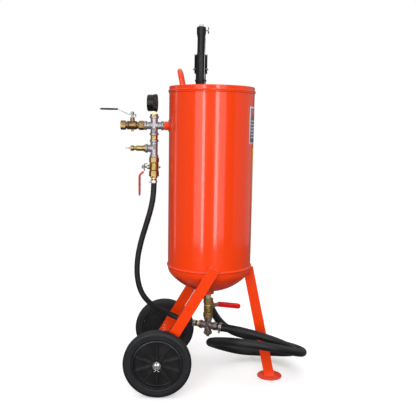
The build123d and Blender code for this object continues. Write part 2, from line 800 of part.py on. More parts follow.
def hose_end(start, along, across):
    """Hose fitting: thread in the valve or cross, and a collar that the hose butts against."""
    with BuildPart() as barb:
        with BuildSketch(Plane(origin=start - along * 11, z_dir=along)):
            Circle(thread_radius)
        extrude(amount=11.1)
        with BuildSketch(Plane(origin=start + along * 0.1, z_dir=along)):
            RegularPolygon(across / 2, 6, major_radius=False)
        extrude(amount=barb_length - 4)
        with BuildSketch(Plane(origin=start + along * (barb_length - 4), z_dir=along)):
            Circle(across / 2 - 2)
        extrude(amount=4)
        with BuildSketch(Plane(origin=start - along * 12, z_dir=along)):
            Circle(6)
        extrude(amount=barb_length + 13, mode=Mode.SUBTRACT)
    return barb


down = Vector(0, 0, -1)
air_barb_upper = hose_end(at(cross_x, 0, hose_valve_height - hose_valve_half), down, 24)
air_barb_lower = hose_end(mixer_centre - mixer_way * mixer_arm, mixer_way * -1, 25)
with BuildPart() as air_hose_barbs:
    add(air_barb_upper.part)
    add(air_barb_lower.part)
write(air_hose_barbs, "air_hose_barbs")
blast_barb = hose_end(mixer_centre + mixer_way * mixer_arm, mixer_way, 27)
write(blast_barb, "blast_barb")

# ---------------------------------------------------------------- hoses
hose_butt = mixer_arm + barb_length + 0.1
air_start = at(cross_x, 0, hose_valve_height - hose_valve_half - barb_length - 0.1)
air_end = mixer_centre - mixer_way * hose_butt
air_route = [
    air_start,
    at(cross_x, 0, 745),
    at(-228, 2, 686),
    at(-248, 4, 616),
    at(-270, 6, 545),
    at(-285, 8, 470),
    at(-286, 10, 398),
    at(-270, 12, 335),
    at(-237, 24, 288),
    at(-196, 44, 254),
    at(-148, 61, 229),
    mixer_centre - mixer_way * (hose_butt + 60),
    air_end,
]
blast_start = mixer_centre + mixer_way * hose_butt
blast_route = [
    blast_start,
    mixer_centre + mixer_way * (hose_butt + 66),
    at(168, -79, 204),
    at(236, -97, 190),
    at(300, -79, 160),
    at(345, -26, 122),
    at(356, 43, 85),
    at(334, 110, 55),
    at(284, 157, 38),
    at(216, 175, 31),
    at(144, 164, 39),
    at(75, 129, 67),
    at(19, 68, 107),
    at(5, -15, 144),
    at(36, -94, 177),
    at(105, -152, 196),
    at(193, -176, 193),
    at(282, -158, 171),
    at(352, -104, 139),
    at(386, -20, 107),
    at(387, 72, 84),
    at(344, 152, 72),
    at(268, 204, 70),
    at(186, 224, 84),
    at(108, 225, 103),
    at(46, 221, 154),
    at(2, 215, 236),
    at(-28, 208, 332),
    at(-45, 202, 440),
    at(-50, 198, 560),
    at(-50, 195, 690),
    at(-47, 193, 820),
    at(gun_x, gun_y, 955),
    at(gun_x, gun_y, gun_bottom),
]


def hose(name, route, radius):
    """Solid hose along straight runs joined by arcs as large as the runs allow."""
    route = [Vector(*point) for point in route]
    bends = []
    for before, here, after in zip(route, route[1:], route[2:]):
        arriving, leaving = here - before, after - here
        turn = radians(arriving.get_angle(leaving))
        bends.append(0.45 * min(arriving.length, leaving.length) / tan(turn / 2))
    with BuildPart() as tube:
        with BuildLine() as line:
            FilletPolyline(*route, radius=bends)
        with BuildSketch(Plane(origin=route[0], z_dir=route[1] - route[0])):
            Circle(radius)
        sweep(path=line.wires()[0])
    length = line.wires()[0].length
    print(name, "length", round(length), "smallest bend", round(min(bends)), "volume ratio",
          round(tube.part.volume / (pi * radius**2 * length), 4))
    write(tube, name)


hose("air_hose", air_route, air_hose_radius)
hose("blast_hose", blast_route, blast_hose_radius)


def band_clamp(centre, along, outward, bore):
    """Worm-drive hose clamp: a band, its screw housing and the screw."""
    band = ring(centre - along * 5.5, (along.X, along.Y, along.Z), bore, bore + 1.2, 11)
    housing_at = centre + outward * (bore + 4.0)
    screw_way = along.cross(outward)
    with BuildPart() as clamp:
        add(band.part)
        with BuildSketch(Plane(origin=housing_at - outward * 3.4, x_dir=along, z_dir=outward)):
            Rectangle(9, 13)
        extrude(amount=6.4)
        with BuildSketch(Plane(origin=housing_at - screw_way * 9, z_dir=screw_way)):
            Circle(2.6)
        extrude(amount=22)
        with BuildSketch(Plane(origin=housing_at + screw_way * 13, z_dir=screw_way)):
            RegularPolygon(3.8, 6, major_radius=False)
        extrude(amount=4.5)
    return clamp


upper_clamp = band_clamp(air_start + Vector(0, 0, -9), down, Vector(0, -1, 0), air_hose_radius + 0.25)
lower_way = (air_route[-2] - air_end).normalized()
lower_out = Vector(0, 0, 1).cross(lower_way).normalized()
lower_clamp = band_clamp(air_end + lower_way * 12, lower_way, lower_out, air_hose_radius + 0.25)
with BuildPart() as air_hose_clamps:
    add(upper_clamp.part)
    add(lower_clamp.part)
write(air_hose_clamps, "air_hose_clamps")
blast_way = (Vector(*blast_route[1]) - blast_start).normalized()
blast_out = Vector(0, 0, 1).cross(blast_way).normalized() * -1
blast_clamp = band_clamp(blast_start + blast_way * 12, blast_way, blast_out, blast_hose_radius + 0.25)
write(blast_clamp, "blast_clamp")

# ---------------------------------------------------------------- blast gun and its holder
with BuildPart() as gun_body:
    with BuildSketch(round_frame(at(gun_x, gun_y, gun_bottom + 0.1), (0, 0, 1))):
        with BuildLine():
            Polyline(
                (6.5, 0), (18, 0), (19.5, 1.5), (19.5, 30), (21, 31), (21, 84), (24, 86), (24, 92), (21, 94),
                (21, 192), (17, 197), (16, 203), (15.5, 254), (6.5, 254), close=True,
            )
        make_face()
    revolve(axis=Axis(at(gun_x, gun_y, 0), Vector(0, 0, 1)))
    with BuildSketch(Plane(origin=at(gun_x - 40, pin_y, pin_height), z_dir=(1, 0, 0))):
        Circle(3.05)
    extrude(amount=80, mode=Mode.SUBTRACT)
write(gun_body, "gun_body")

nozzle_nut = turned(
    at(gun_x, gun_y, gun_bottom + 254.2),
    (0, 0, 1),
    [(9.5, 0), (15.5, 0), (15.5, 6), (19, 24), (19, 45), (17, 49.5), (9.5, 49.5)],
)
write(nozzle_nut, "nozzle_nut")

nozzle_bore = 3.0
blast_nozzle = turned(
    at(gun_x, gun_y, gun_bottom + 254.2),
    (0, 0, 1),
    [(nozzle_bore, 0), (9.3, 0), (9.3, 57), (8, 60), (nozzle_bore, 60)],
)
write(blast_nozzle, "blast_nozzle")

# Wing bolt that pins the nozzle nut to the gun.
wing_height = gun_bottom + 290
with BuildPart() as wing_bolt:
    with BuildSketch(Plane(origin=at(gun_x + 19.2, gun_y, wing_height), z_dir=(1, 0, 0))):
        Circle(3)
    extrude(amount=9)
    with BuildSketch(Plane(origin=at(gun_x + 26, gun_y, wing_height), x_dir=(0, 1, 0), z_dir=(1, 0, 0))):
        RegularPolygon(5, 6, major_radius=False)
    extrude(amount=4)
    with BuildSketch(Plane(origin=at(gun_x + 29, gun_y, wing_height), x_dir=(1, 0, 0), z_dir=(0, -1, 0))):
        with Locations((0, 7), (0, -7)):
            Ellipse(3.2, 6)
    extrude(amount=1, both=True)
    with BuildSketch(Plane(origin=at(gun_x + 29, gun_y, wing_height), x_dir=(1, 0, 0), z_dir=(0, -1, 0))):
        Rectangle(4, 10)
    extrude(amount=1, both=True)
write(wing_bolt, "wing_bolt")

# Dead-man lever: a channel around the gun, hinged on a cross pin, with a grip that the hand closes.
channel_half = 26.5
channel_web = gun_y + 27.0
with BuildPart() as gun_lever:
    for way in (-1, 1):
        cheek_at = gun_x + way * (channel_half - 1.5)
        with BuildSketch(Plane(origin=at(cheek_at, 0, 0), x_dir=(0, 1, 0), z_dir=(1, 0, 0))):
            with BuildLine():
                Polyline(
                    (gun_y - 10, pin_height + 50), (gun_y - 3, pin_height + 58),
                    (channel_web, pin_height + 58), (channel_web, pin_height - 18),
                    (gun_y, pin_height - 18), (gun_y - 7, pin_height - 10), close=True,
                )
            make_face()
        extrude(amount=1.5, both=True)
    with BuildSketch(Plane(origin=at(gun_x, 0, 0), x_dir=(0, 1, 0), z_dir=(1, 0, 0))):
        with BuildLine():
            Polyline(
                (channel_web - 3, pin_height + 58), (channel_web, pin_height + 58),
                (channel_web, pin_height - 12), (channel_web + 15, pin_height - 110),
                (channel_web + 12, pin_height - 110), (channel_web - 3, pin_height - 14), close=True,
            )
        make_face()
    extrude(amount=channel_half - 10, both=True)
    web_middle = at(gun_x, channel_web - 3, pin_height + 20)
    with BuildSketch(Plane(origin=web_middle, x_dir=(1, 0, 0), z_dir=(0, 1, 0))):
        Rectangle(2 * channel_half, 76)
    extrude(amount=3)
    with BuildSketch(Plane(origin=at(gun_x - 40, pin_y, pin_height), z_dir=(1, 0, 0))):
        Circle(3.05)
    extrude(amount=80, mode=Mode.SUBTRACT)
write(gun_lever, "gun_lever")

lever_pin = turned(
    at(gun_x - 32.5, pin_y, pin_height),
    (1, 0, 0),
    [(0, 0), (5, 0), (5, 5.2), (3, 5.2), (3, 59.6), (4.5, 59.6), (4.5, 63), (0, 63)],
)
write(lever_pin, "lever_pin")

# Spring clip behind the tank: a foot welded to the shell and two arms around the gun's body.
holder_height = gun_bottom + 36
with BuildPart() as gun_holder:
    with BuildSketch(Plane(origin=at(gun_x, gun_y, holder_height), z_dir=(0, 0, 1))):
        Circle(24.5)
        Circle(21.4, mode=Mode.SUBTRACT)
        with Locations((0, 22)):
            Rectangle(26, 20, mode=Mode.SUBTRACT)
        with Locations((0, -31.5)):
            Rectangle(20, 18)
    extrude(amount=24)
    with BuildSketch(Plane(origin=at(0, 0, holder_height - 1), z_dir=(0, 0, 1))):
        Circle(tank_radius + 0.1)
    extrude(amount=30, mode=Mode.SUBTRACT)
write(gun_holder, "gun_holder")
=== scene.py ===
"""Portable pressure-pot abrasive blaster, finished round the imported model."""
import math

import bmesh
import bpy
import numpy as np
from mathutils import Matrix, Vector


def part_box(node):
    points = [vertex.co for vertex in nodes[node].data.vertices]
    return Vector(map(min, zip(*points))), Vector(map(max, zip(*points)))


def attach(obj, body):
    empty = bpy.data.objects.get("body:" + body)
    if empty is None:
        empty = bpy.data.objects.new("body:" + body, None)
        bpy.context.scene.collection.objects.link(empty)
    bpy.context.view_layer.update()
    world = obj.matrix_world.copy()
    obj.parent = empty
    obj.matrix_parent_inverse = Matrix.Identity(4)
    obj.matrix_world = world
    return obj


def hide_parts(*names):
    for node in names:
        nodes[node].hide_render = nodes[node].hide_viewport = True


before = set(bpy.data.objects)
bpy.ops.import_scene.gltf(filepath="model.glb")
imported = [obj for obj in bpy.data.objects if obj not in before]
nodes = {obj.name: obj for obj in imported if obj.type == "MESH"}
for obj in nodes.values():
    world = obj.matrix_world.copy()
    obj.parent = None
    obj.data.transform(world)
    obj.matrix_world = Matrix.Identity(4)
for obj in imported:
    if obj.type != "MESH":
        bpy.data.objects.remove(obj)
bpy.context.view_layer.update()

# ---------------------------------------------------------------- camera
# A long lens level with the tank's shoulder, looking a little down at the whole machine.
shell_low, shell_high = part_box("tank_shell")
tank_x = (shell_low.x + shell_high.x) / 2
pitch, roll, yaw = math.radians(7.602), math.radians(0.995), math.radians(0.302)
forward = Vector((math.sin(yaw) * math.cos(pitch), math.cos(yaw) * math.cos(pitch), -math.sin(pitch)))
level = Vector((math.cos(yaw), -math.sin(yaw), 0))
upward = level.cross(forward)
across = level * math.cos(roll) + upward * math.sin(roll)
up = upward * math.cos(roll) - level * math.sin(roll)
lens = bpy.data.cameras.new("camera")
lens.lens, lens.sensor_width = 51.36, 36.0
camera = bpy.data.objects.new("camera", lens)
camera_place = Vector((tank_x - 0.0198, -2.2994, 0.9895))
camera.matrix_world = (
    Matrix.Translation(camera_place) @ Matrix((across, up, -forward)).transposed().to_4x4()
)
bpy.context.scene.collection.objects.link(camera)
bpy.context.scene.camera = camera
bpy.context.scene.view_settings.view_transform = "Standard"

# ---------------------------------------------------------------- tank, frame and their paint
# Rolled and welded steel, all sprayed with one thick gloss orange: a smooth orange-peel skin,
# a little dust, and thin bright chips on the sharpest edges.


class Value:
    """A shader output that can be used in sums; each operator adds its own Math node."""

    def __init__(self, finish, socket):
        self.finish, self.socket = finish, socket

    def maths(self, operation, first, second):
        return self.finish.add("Math", {"operation": operation}, {0: first, 1: second})

    def __add__(self, other):
        return self.maths("ADD", self, other)

    def __sub__(self, other):
        return self.maths("SUBTRACT", self, other)

    def __rsub__(self, other):
        return self.maths("SUBTRACT", other, self)

    def __mul__(self, other):
        return self.maths("MULTIPLY", self, other)

    __radd__, __rmul__ = __add__, __mul__


class Finish:
    """A surface finish: one Principled shader on Object coordinates, in metres."""

    def __init__(self, name, slot, fixed):
        self.slot = slot
        self.material = bpy.data.materials.new(name)
        self.material.use_nodes = True
        self.tree = self.material.node_tree
        self.shader = self.tree.nodes["Principled BSDF"]
        self.place = self.add("TexCoord", output="Object")
        for socket, value in fixed.items():
            self.shader.inputs[socket].default_value = value

    def add(self, kind, settings=None, values=None, output=0):
        """Any shader node: its settings first, then the values or links of its sockets."""
        node = self.tree.nodes.new("ShaderNode" + kind)
        for name, value in (settings or {}).items():
            setattr(node, name, value)
        for name, value in (values or {}).items():
            if isinstance(value, Value):
                self.tree.links.new(value.socket, node.inputs[name])
            elif value is not None:
                node.inputs[name].default_value = value
        return Value(self, node.outputs[output])

    def noise(self, scale, detail=3.0, stretch=(1, 1, 1)):
        """Cloudy noise from 0 to 1, its cells 1 / scale metres across, squeezed by stretch."""
        where = self.add("Mapping", None, {"Vector": self.place, "Scale": stretch})
        return self.add("TexNoise", None, {"Vector": where, "Scale": scale, "Detail": detail})

    def step(self, share, low, high):
        """0 below low, 1 above high and smooth between."""
        return self.add(
            "MapRange", {"interpolation_type": "SMOOTHSTEP"}, {0: share, 1: low, 2: high}
        )

    def blend(self, share, first, second):
        """First colour where share is 0, second where it is 1."""
        return self.add(
            "Mix", {"data_type": "RGBA"}, {"Factor": share, 6: first, 7: second}, output=2
        )

    def worn(self, radius):
        """1 on edges sharper than the radius, 0 on open faces, and the eased normal."""
        eased = self.add("Bevel", {"samples": 4}, {"Radius": radius})
        true = self.add("NewGeometry", output="Normal")
        match = self.add("VectorMath", {"operation": "DOT_PRODUCT"}, {0: eased, 1: true}, output="Value")
        return self.step(1.0 - match, 0.02, 0.12), eased

    def drive(self, colour=None, roughness=None, relief=None, depth=0.0001, normal=None, metal=None):
        """Colour, roughness, metal share and relief of depth metres that vary over the surface."""
        for socket, value in (("Base Color", colour), ("Roughness", roughness), ("Metallic", metal)):
            if value is not None:
                self.tree.links.new(value.socket, self.shader.inputs[socket])
        if relief is not None:
            normal = self.add(
                "Bump", None, {"Height": relief, "Distance": depth, "Strength": 1.0, "Normal": normal}
            )
        if normal is not None:
            self.tree.links.new(normal.socket, self.shader.inputs["Normal"])

    def cover(self, *names):
        """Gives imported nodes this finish."""
        for name in names:
            nodes[name].material_slots[0].material = self.material


paint = Finish(
    "orange_gloss_paint", "orange_paint",
    {"Coat Weight": 0.6, "Coat Roughness": 0.08, "Specular IOR Level": 0.15},
)
chipped, eased = paint.worn(0.0012)
specks = paint.step(paint.noise(420.0, 4.0), 0.60, 0.68)
chips = chipped * specks
haze = paint.step(paint.noise(5.0, 5.0), 0.35, 0.8)
orange = paint.blend(haze * 0.3, (0.82, 0.044, 0.0006, 1), (0.75, 0.051, 0.003, 1))
paint.drive(
    colour=paint.blend(chips * 0.8, orange, (0.36, 0.33, 0.31, 1)),
    roughness=0.27 + haze * 0.07 + chips * 0.2,
    relief=paint.noise(190.0, 2.0) + paint.noise(14.0, 1.0) * 4.0,
    depth=0.00006,
    normal=eased,
)
paint.cover(
    "tank_shell", "bottom_head", "top_head", "filler_neck", "handle", "air_port", "outlet_boss",
    "rear_leg_near", "rear_leg_far", "front_leg", "foot_plate", "gun_holder",
)

# ---------------------------------------------------------------- weld beads
# MIG beads laid over the joints and painted over with them: each pool overlaps the last one,
# about 3 mm apart, and stands proud of the plate.


def piece(name, mesh, finish, body):
    """An object of that mesh and finish, riding on a body of the machine."""
    mesh.materials.clear()
    mesh.materials.append(finish.material)
    made = bpy.data.objects.new(name, mesh)
    bpy.context.scene.collection.objects.link(made)
    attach(made, body)
    return made


def grid_mesh(name, points, finish, body, wrap_rows=False):
    """A (rows, columns, 3) array of points in metres as quads.  The columns close on themselves,
    and so do the rows, or else both ends are capped; the solid is turned to face outwards."""
    rows, columns = points.shape[:2]
    index = np.arange(rows * columns).reshape(rows, columns)
    down = np.roll(index, -1, axis=0) if wrap_rows else index[1:]
    upper = index if wrap_rows else index[:-1]
    quads = np.stack([upper, down, np.roll(down, -1, axis=1), np.roll(upper, -1, axis=1)], axis=-1)
    faces = quads.reshape(-1, 4).tolist()
    if not wrap_rows:
        faces += [index[0].tolist(), index[-1, ::-1].tolist()]
    mesh = bpy.data.meshes.new(name)
    mesh.from_pydata(points.reshape(-1, 3).tolist(), [], faces)
    mesh.polygons.foreach_set("use_smooth", np.ones(len(mesh.polygons), bool))
    mesh.validate()
    solid = bmesh.new()
    solid.from_mesh(mesh)
    if solid.calc_volume(signed=True) < 0:
        bmesh.ops.reverse_faces(solid, faces=solid.faces)
        solid.to_mesh(mesh)
    solid.free()
    return piece(name, mesh, finish, body)


def along_line(line, radii, sides, closed):
    """Rings of radii about a line: point + radius (side cos a + other sin a), the frame turned
    with the line's tangent about a fixed rough upward way."""
    ahead = np.roll(line, -1, axis=0) - np.roll(line, 1, axis=0)
    if not closed:
        ahead[0], ahead[-1] = line[1] - line[0], line[-1] - line[-2]
    ahead /= np.linalg.norm(ahead, axis=1, keepdims=True)
    spread = np.abs(ahead).max(axis=0)
    rough = np.eye(3)[np.argmin(spread)]
    side = np.cross(ahead, rough)
    side /= np.linalg.norm(side, axis=1, keepdims=True)
    other = np.cross(ahead, side)
    angle = np.linspace(0, 2 * np.pi, sides, endpoint=False)
    ring = side[:, None] * np.cos(angle)[:, None] + other[:, None] * np.sin(angle)[:, None]
    return line[:, None] + ring * radii[:, None, None]


def bead(name, corners, radius, closed=False):
    """A weld bead: a round rod whose radius swells by a tenth with each pool of metal, and tapers
    at free ends.  The corners are joined by straight runs resampled every 0.8 mm."""
    corners = np.asarray(corners, float)
    if closed:
        corners = np.vstack([corners, corners[:1]])
    reach = np.insert(np.cumsum(np.linalg.norm(np.diff(corners, axis=0), axis=1)), 0, 0.0)
    count = max(12, int(reach[-1] / 0.0008))
    where = np.linspace(0, reach[-1], count, endpoint=not closed)
    line = np.stack([np.interp(where, reach, corners[:, k]) for k in range(3)], axis=1)
    pool = 0.0032
    saw = (where / pool) % 1.0
    radii = radius * (1 + 0.13 * saw**0.6 + 0.03 * np.sin(where * 210))
    if not closed:
        end = np.minimum(where, reach[-1] - where) / (2 * radius)
        radii *= np.sqrt(np.clip(end, 0.02, 1))
    points = along_line(line, radii, 10, closed)
    return grid_mesh(name, points, paint, "tank", wrap_rows=closed)


turn = np.linspace(0, 2 * np.pi, 361)[:-1]
shell_radius = 0.1625


def circle(radius, height, centre_x=tank_x, centre_y=0.0):
    """A level circle of that radius."""
    return np.stack(
        [centre_x + radius * np.cos(turn), centre_y + radius * np.sin(turn), np.full_like(turn, height)],
        axis=1,
    )


# The girth beads' centre line lies just outside the shell.
bead_lift = 0.0012
head_weld_height, seam_weld_height, filler_weld_height, boss_weld_height = 1.1295, 0.4600, 1.0865, 0.3565
bead("head_weld", circle(shell_radius + bead_lift, head_weld_height), radius=0.0026, closed=True)
bead("seam_weld", circle(shell_radius + bead_lift, seam_weld_height), radius=0.0027, closed=True)
bead("filler_weld", circle(0.0305, filler_weld_height), radius=0.0026, closed=True)
bead("boss_weld", circle(0.0175, boss_weld_height), radius=0.0024, closed=True)

# The air port's bead follows the saddle where its round pipe meets the shell.
manifold_height, port_radius = 0.998, 0.0205
port_y, port_z = port_radius * np.cos(turn), manifold_height + port_radius * np.sin(turn)
port_x = tank_x - np.sqrt(shell_radius**2 - port_y**2)
bead("port_weld", np.stack([port_x, port_y, port_z], axis=1), radius=0.0026, closed=True)

# The handle's bar is welded round each end, and the legs along their edges.
handle_back, handle_half, handle_weld_height, handle_weld_radius = 0.099, 0.086, 1.0985, 0.0098
leg_down = np.array((-0.5045, -0.8634))
leg_across = np.array((0.8634, -0.5045)) * 0.020
leg_top = np.array((0.018, 0.477))
leg_outline = [
    leg_top - leg_across + leg_down * 0.058, leg_top - leg_across, leg_top + leg_across,
    leg_top + leg_across + leg_down * 0.030,
]
leg_line = np.array([
    start + (end - start) * share
    for start, end in zip(leg_outline, leg_outline[1:]) for share in np.linspace(0, 1, 12)
])
front_x, front_half, front_low, front_high = tank_x + shell_radius - 0.0002, 0.0102, 0.411, 0.451
foot_x, foot_half_long, foot_half_wide, foot_top = tank_x + 0.253, 0.0215, 0.0105, 0.0048
for side, name in ((-1, "near"), (1, "far")):
    bar_end = circle(handle_weld_radius, handle_weld_height, tank_x - handle_back, side * handle_half)
    bead(f"handle_weld_{name}", bar_end[::6], radius=0.0022, closed=True)
    leg_y = side * np.sqrt(shell_radius**2 - leg_line[:, 0] ** 2)
    leg_edge = np.stack([tank_x + leg_line[:, 0], leg_y, leg_line[:, 1]], axis=1)
    bead(f"rear_leg_weld_{name}", leg_edge, radius=0.0023)
    front_edge = [(front_x, side * front_half, front_low), (front_x, side * front_half, front_high)]
    bead(f"front_leg_weld_{name}", front_edge, radius=0.0024)
foot_outline = [
    (foot_x + along * foot_half_long, sideways * foot_half_wide, foot_top)
    for along, sideways in ((-1, -1), (1, -1), (1, 1), (-1, 1))
]
bead("foot_weld", foot_outline, radius=0.0022, closed=True)

# ---------------------------------------------------------------- labels
# Two printed vinyl labels stuck round the shell on the foot side, with plain shapes only:
# a grey data panel with a pale border above a narrow yellow caution panel.


def label_patch(name, angles, heights, lift, finish):
    """A thin closed patch between two angles from the near side and two heights: its section runs
    from inside the paint, out over a 0.1 mm rounded edge to the shell's radius + lift, and back."""
    angle = np.radians(np.linspace(*angles, 40))[:, None]
    low, high = heights
    face, inside, edge = shell_radius + lift, shell_radius - 0.0001, 0.0001
    around = np.array((inside, face - edge, face, face, face - edge, inside))
    level = np.array((low, low, low + edge, high - edge, high, high))
    points = np.stack(
        [tank_x + around * np.sin(angle), -around * np.cos(angle), np.broadcast_to(level, (len(angle), 6))],
        axis=-1,
    )
    return grid_mesh(name, points, finish, "tank")


def printed(name, colour, faded):
    """Printed vinyl: an even ink that has faded in patches, with a fine grain."""
    vinyl = Finish(name, "orange_paint", {"Specular IOR Level": 0.45})
    patch = vinyl.step(vinyl.noise(38.0, 4.0), 0.35, 0.75)
    grain = vinyl.noise(1500.0, 2.0)
    vinyl.drive(
        colour=vinyl.blend(patch, colour, faded), roughness=0.3 + patch * 0.12 + grain * 0.05,
        relief=grain, depth=0.00002,
    )
    return vinyl


border_ink = printed("label_border_ink", (0.52, 0.60, 0.68, 1), (0.62, 0.68, 0.74, 1))
panel_ink = printed("label_panel_ink", (0.10, 0.10, 0.12, 1), (0.16, 0.16, 0.18, 1))
red_ink = printed("label_red_ink", (0.62, 0.09, 0.09, 1), (0.56, 0.14, 0.13, 1))
white_ink = printed("label_white_ink", (0.62, 0.62, 0.64, 1), (0.5, 0.5, 0.52, 1))
yellow_ink = printed("label_yellow_ink", (0.82, 0.50, 0.04, 1), (0.76, 0.50, 0.10, 1))
# Each print stands 0.1 mm on the one below it.
sheet, first_print, second_print = 0.00025, 0.00035, 0.00045
label_patch("label_border", (60.0, 120.0), (0.9355, 1.0735), sheet, border_ink)
label_patch("label_panel", (62.5, 117.5), (0.942, 1.067), first_print, panel_ink)
label_patch("label_red_block", (65.0, 87.0), (1.036, 1.061), second_print, red_ink)
bar_start, bar_top, bar_pitch, bar_half = 65, 1.0205, 0.0122, 0.0022
for row, bar_stop in enumerate((114, 108, 111, 102, 113, 96)):
    height = bar_top - bar_pitch * row
    label_patch(
        f"label_bar_{row}", (bar_start, bar_stop), (height - bar_half, height + bar_half),
        second_print, white_ink,
    )
label_patch("caution_panel", (75.0, 103.0), (0.700, 0.920), sheet, yellow_ink)
band_half = 0.008
for row, height in enumerate((0.900, 0.720)):
    label_patch(
        f"caution_band_{row}", (80.0, 98.0), (height - band_half, height + band_half),
        first_print, panel_ink,
    )

# ---------------------------------------------------------------- tyres
# Solid rubber tyres pressed on the hubs: a fine ring pressed into each sidewall, a rounded
# shoulder, and the mould's parting line standing 0.2 mm proud round the tread.
tread = Finish("tyre_rubber", "tyre_rubber", {"Specular IOR Level": 0.34})
bloom = tread.step(tread.noise(11.0, 5.0), 0.3, 0.75)
pores = tread.noise(1300.0, 3.0)
scrape = tread.step(tread.noise(70.0, 6.0, (1, 4, 1)), 0.60, 0.70)
tread.drive(
    colour=tread.blend(bloom * 0.55 + scrape * 0.25, (0.0042, 0.0046, 0.0066, 1), (0.014, 0.015, 0.020, 1)),
    roughness=0.46 + bloom * 0.12 + pores * 0.08,
    relief=pores * 0.7 + tread.noise(240.0, 2.0),
    depth=0.00018,
)


def lathe(name, start, along, profile, finish, body, steps):
    """A closed section of (radius, distance) points, or a function of the turn that gives it,
    carried round the axis: start + distance along + radius (side cos a + other sin a)."""
    along = Vector(along).normalized()
    rough = Vector((0, 1, 0)) if abs(along.y) < 0.9 else Vector((0, 0, 1))
    side = along.cross(rough).normalized()
    other = along.cross(side)
    angle = np.linspace(0, 2 * np.pi, steps, endpoint=False)
    rows = profile(angle) if callable(profile) else np.broadcast_to(
        np.asarray(profile, float), (steps, len(profile), 2)
    )
    spokes = np.cos(angle)[:, None] * np.array(side) + np.sin(angle)[:, None] * np.array(other)
    points = np.array(start) + rows[..., 1:2] * np.array(along) + rows[..., :1] * spokes[:, None]
    return grid_mesh(name, points, finish, body, wrap_rows=True)


wheel_radius = 0.127
tyre_bore = 0.735 * wheel_radius


def arc(centre, radius, start, end, count):
    """Points of an arc in a section, from one angle to another in degrees."""
    angle = np.radians(np.linspace(start, end, count))
    return [(centre[0] + radius * math.cos(a), centre[1] + radius * math.sin(a)) for a in angle]


def tyre_section():
    """Section of the tyre in (radius, distance) from its middle plane: from the bore out over one
    wall, with its rounded bead and pressed ring, the shoulder and the tread, and back mirrored."""
    bead_round, shoulder_round, ring, line_half = 0.0060, 0.0123, tyre_bore + 0.0102, 0.0008
    wall = [(tyre_bore, 0.0), (tyre_bore, -0.0120)]
    wall += arc((tyre_bore + bead_round, -0.0128), bead_round, 180, 262, 9)
    wall += [(ring - 0.0004, -0.0191), (ring, -0.0189), (ring + 0.0004, -0.0191), (ring + 0.0048, -0.0194)]
    wall += arc((wheel_radius - 0.0125, -0.0070), shoulder_round, 262, 350, 14)
    wall += [(wheel_radius - 0.0003, -0.0045), (wheel_radius - 0.0002, -line_half), (wheel_radius, 0.0)]
    return wall + [(radius, -distance) for radius, distance in reversed(wall[1:-1])]


axle_x, wheel_plane = tank_x - 0.1865, 0.2045
for side, facing in (("near", -1), ("far", 1)):
    tyre = lathe(
        f"tyre_{side}_tread", (axle_x, facing * wheel_plane, wheel_radius), (0, facing, 0),
        tyre_section(), tread, f"wheel_{side}", steps=160,
    )
    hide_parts(f"tyre_{side}")

# ---------------------------------------------------------------- hubs
# Injection-moulded black polypropylene with radial ribs; the mould leaves a fine spark texture. The rib and
# rim edges are painted a paler grey as a painted highlight, where the raised ribs catch the light, and are a
# little glossier where they have been rubbed.
plastic = Finish("hub_plastic", "black_plastic", {"Specular IOR Level": 0.45})
rubbed_edge_and_highlight, soft = plastic.worn(0.0025)
spark = plastic.noise(2200.0, 2.0)
film = plastic.step(plastic.noise(24.0, 5.0), 0.35, 0.8)
# Painted highlight: the edges are mixed towards pale grey in the colour; their lower roughness is real
# rubbing.
plastic.drive(
    colour=plastic.blend(
        rubbed_edge_and_highlight * 0.8, plastic.blend(film * 0.3, (0.0028, 0.0028, 0.0034, 1), (0.012, 0.012, 0.014, 1)),
        (0.055, 0.055, 0.060, 1),
    ),
    roughness=0.32 - rubbed_edge_and_highlight * 0.10 + film * 0.12,
    relief=spark, depth=0.00005, normal=soft,
)
plastic.cover("hub_near", "hub_far")

# ---------------------------------------------------------------- plated steel
# Zinc plating on turned and pressed steel: bright on the axle, washers, split pins, clamps and
# outlet lever, and dull on the other levers and the nuts of the valve spindles.


def plated(name, clean, dull):
    """Plated steel: bright metal with duller patches and a fine grain along the part."""
    plate = Finish(name, "zinc_steel", {"Metallic": 1.0})
    bright, turned_edge = plate.worn(0.0005)
    spangle = plate.step(plate.noise(160.0, 3.0), 0.35, 0.7)
    brushed = plate.noise(900.0, 2.0, (1, 1, 0.15))
    plate.drive(
        colour=plate.blend(spangle * 0.8, clean, dull),
        roughness=0.2 + spangle * 0.14 + brushed * 0.08 - bright * 0.06,
        relief=brushed, depth=0.00003, normal=turned_edge,
    )
    return plate


zinc = plated("zinc_plate", (0.76, 0.77, 0.79, 1), (0.66, 0.65, 0.61, 1))
zinc.cover(
    "axle", "axle_washers", "split_pins", "lever_pin", "air_hose_clamps", "blast_clamp",
    "outlet_valve_lever",
)
lever_plate = plated("lever_plate", (0.21, 0.213, 0.225, 1), (0.28, 0.275, 0.26, 1))
lever_plate.cover(
    "inlet_valve_lever", "hose_valve_lever",
    "inlet_valve_spindle", "hose_valve_spindle", "outlet_valve_spindle",
)

# ---------------------------------------------------------------- iron fittings
# Malleable iron cross and tee, hot-dip galvanised over the sand casting: grey, satin and
# slightly lumpy, with crystals in the zinc.
iron = Finish("galvanised_iron", "zinc_iron", {"Metallic": 0.85})
ground, round_edge = iron.worn(0.0010)
crystal = iron.add("TexVoronoi", {"feature": "F1"}, {"Vector": iron.place, "Scale": 210.0}, output="Color")
crystal = iron.add("SeparateColor", None, {0: crystal})
sand = iron.noise(520.0, 5.0)
grime = iron.step(iron.noise(55.0, 5.0), 0.52, 0.72)
iron.drive(
    colour=iron.blend(
        grime * 0.6,
        iron.blend(crystal * 0.6 + ground * 0.4, (0.285, 0.285, 0.298, 1), (0.46, 0.46, 0.48, 1)),
        (0.13, 0.115, 0.11, 1),
    ),
    roughness=0.34 + crystal * 0.14 + grime * 0.2,
    relief=sand + iron.noise(110.0, 2.0) * 1.6, depth=0.0003, normal=round_edge,
)
iron.cover("manifold_cross", "manifold_tee", "filler_plug")

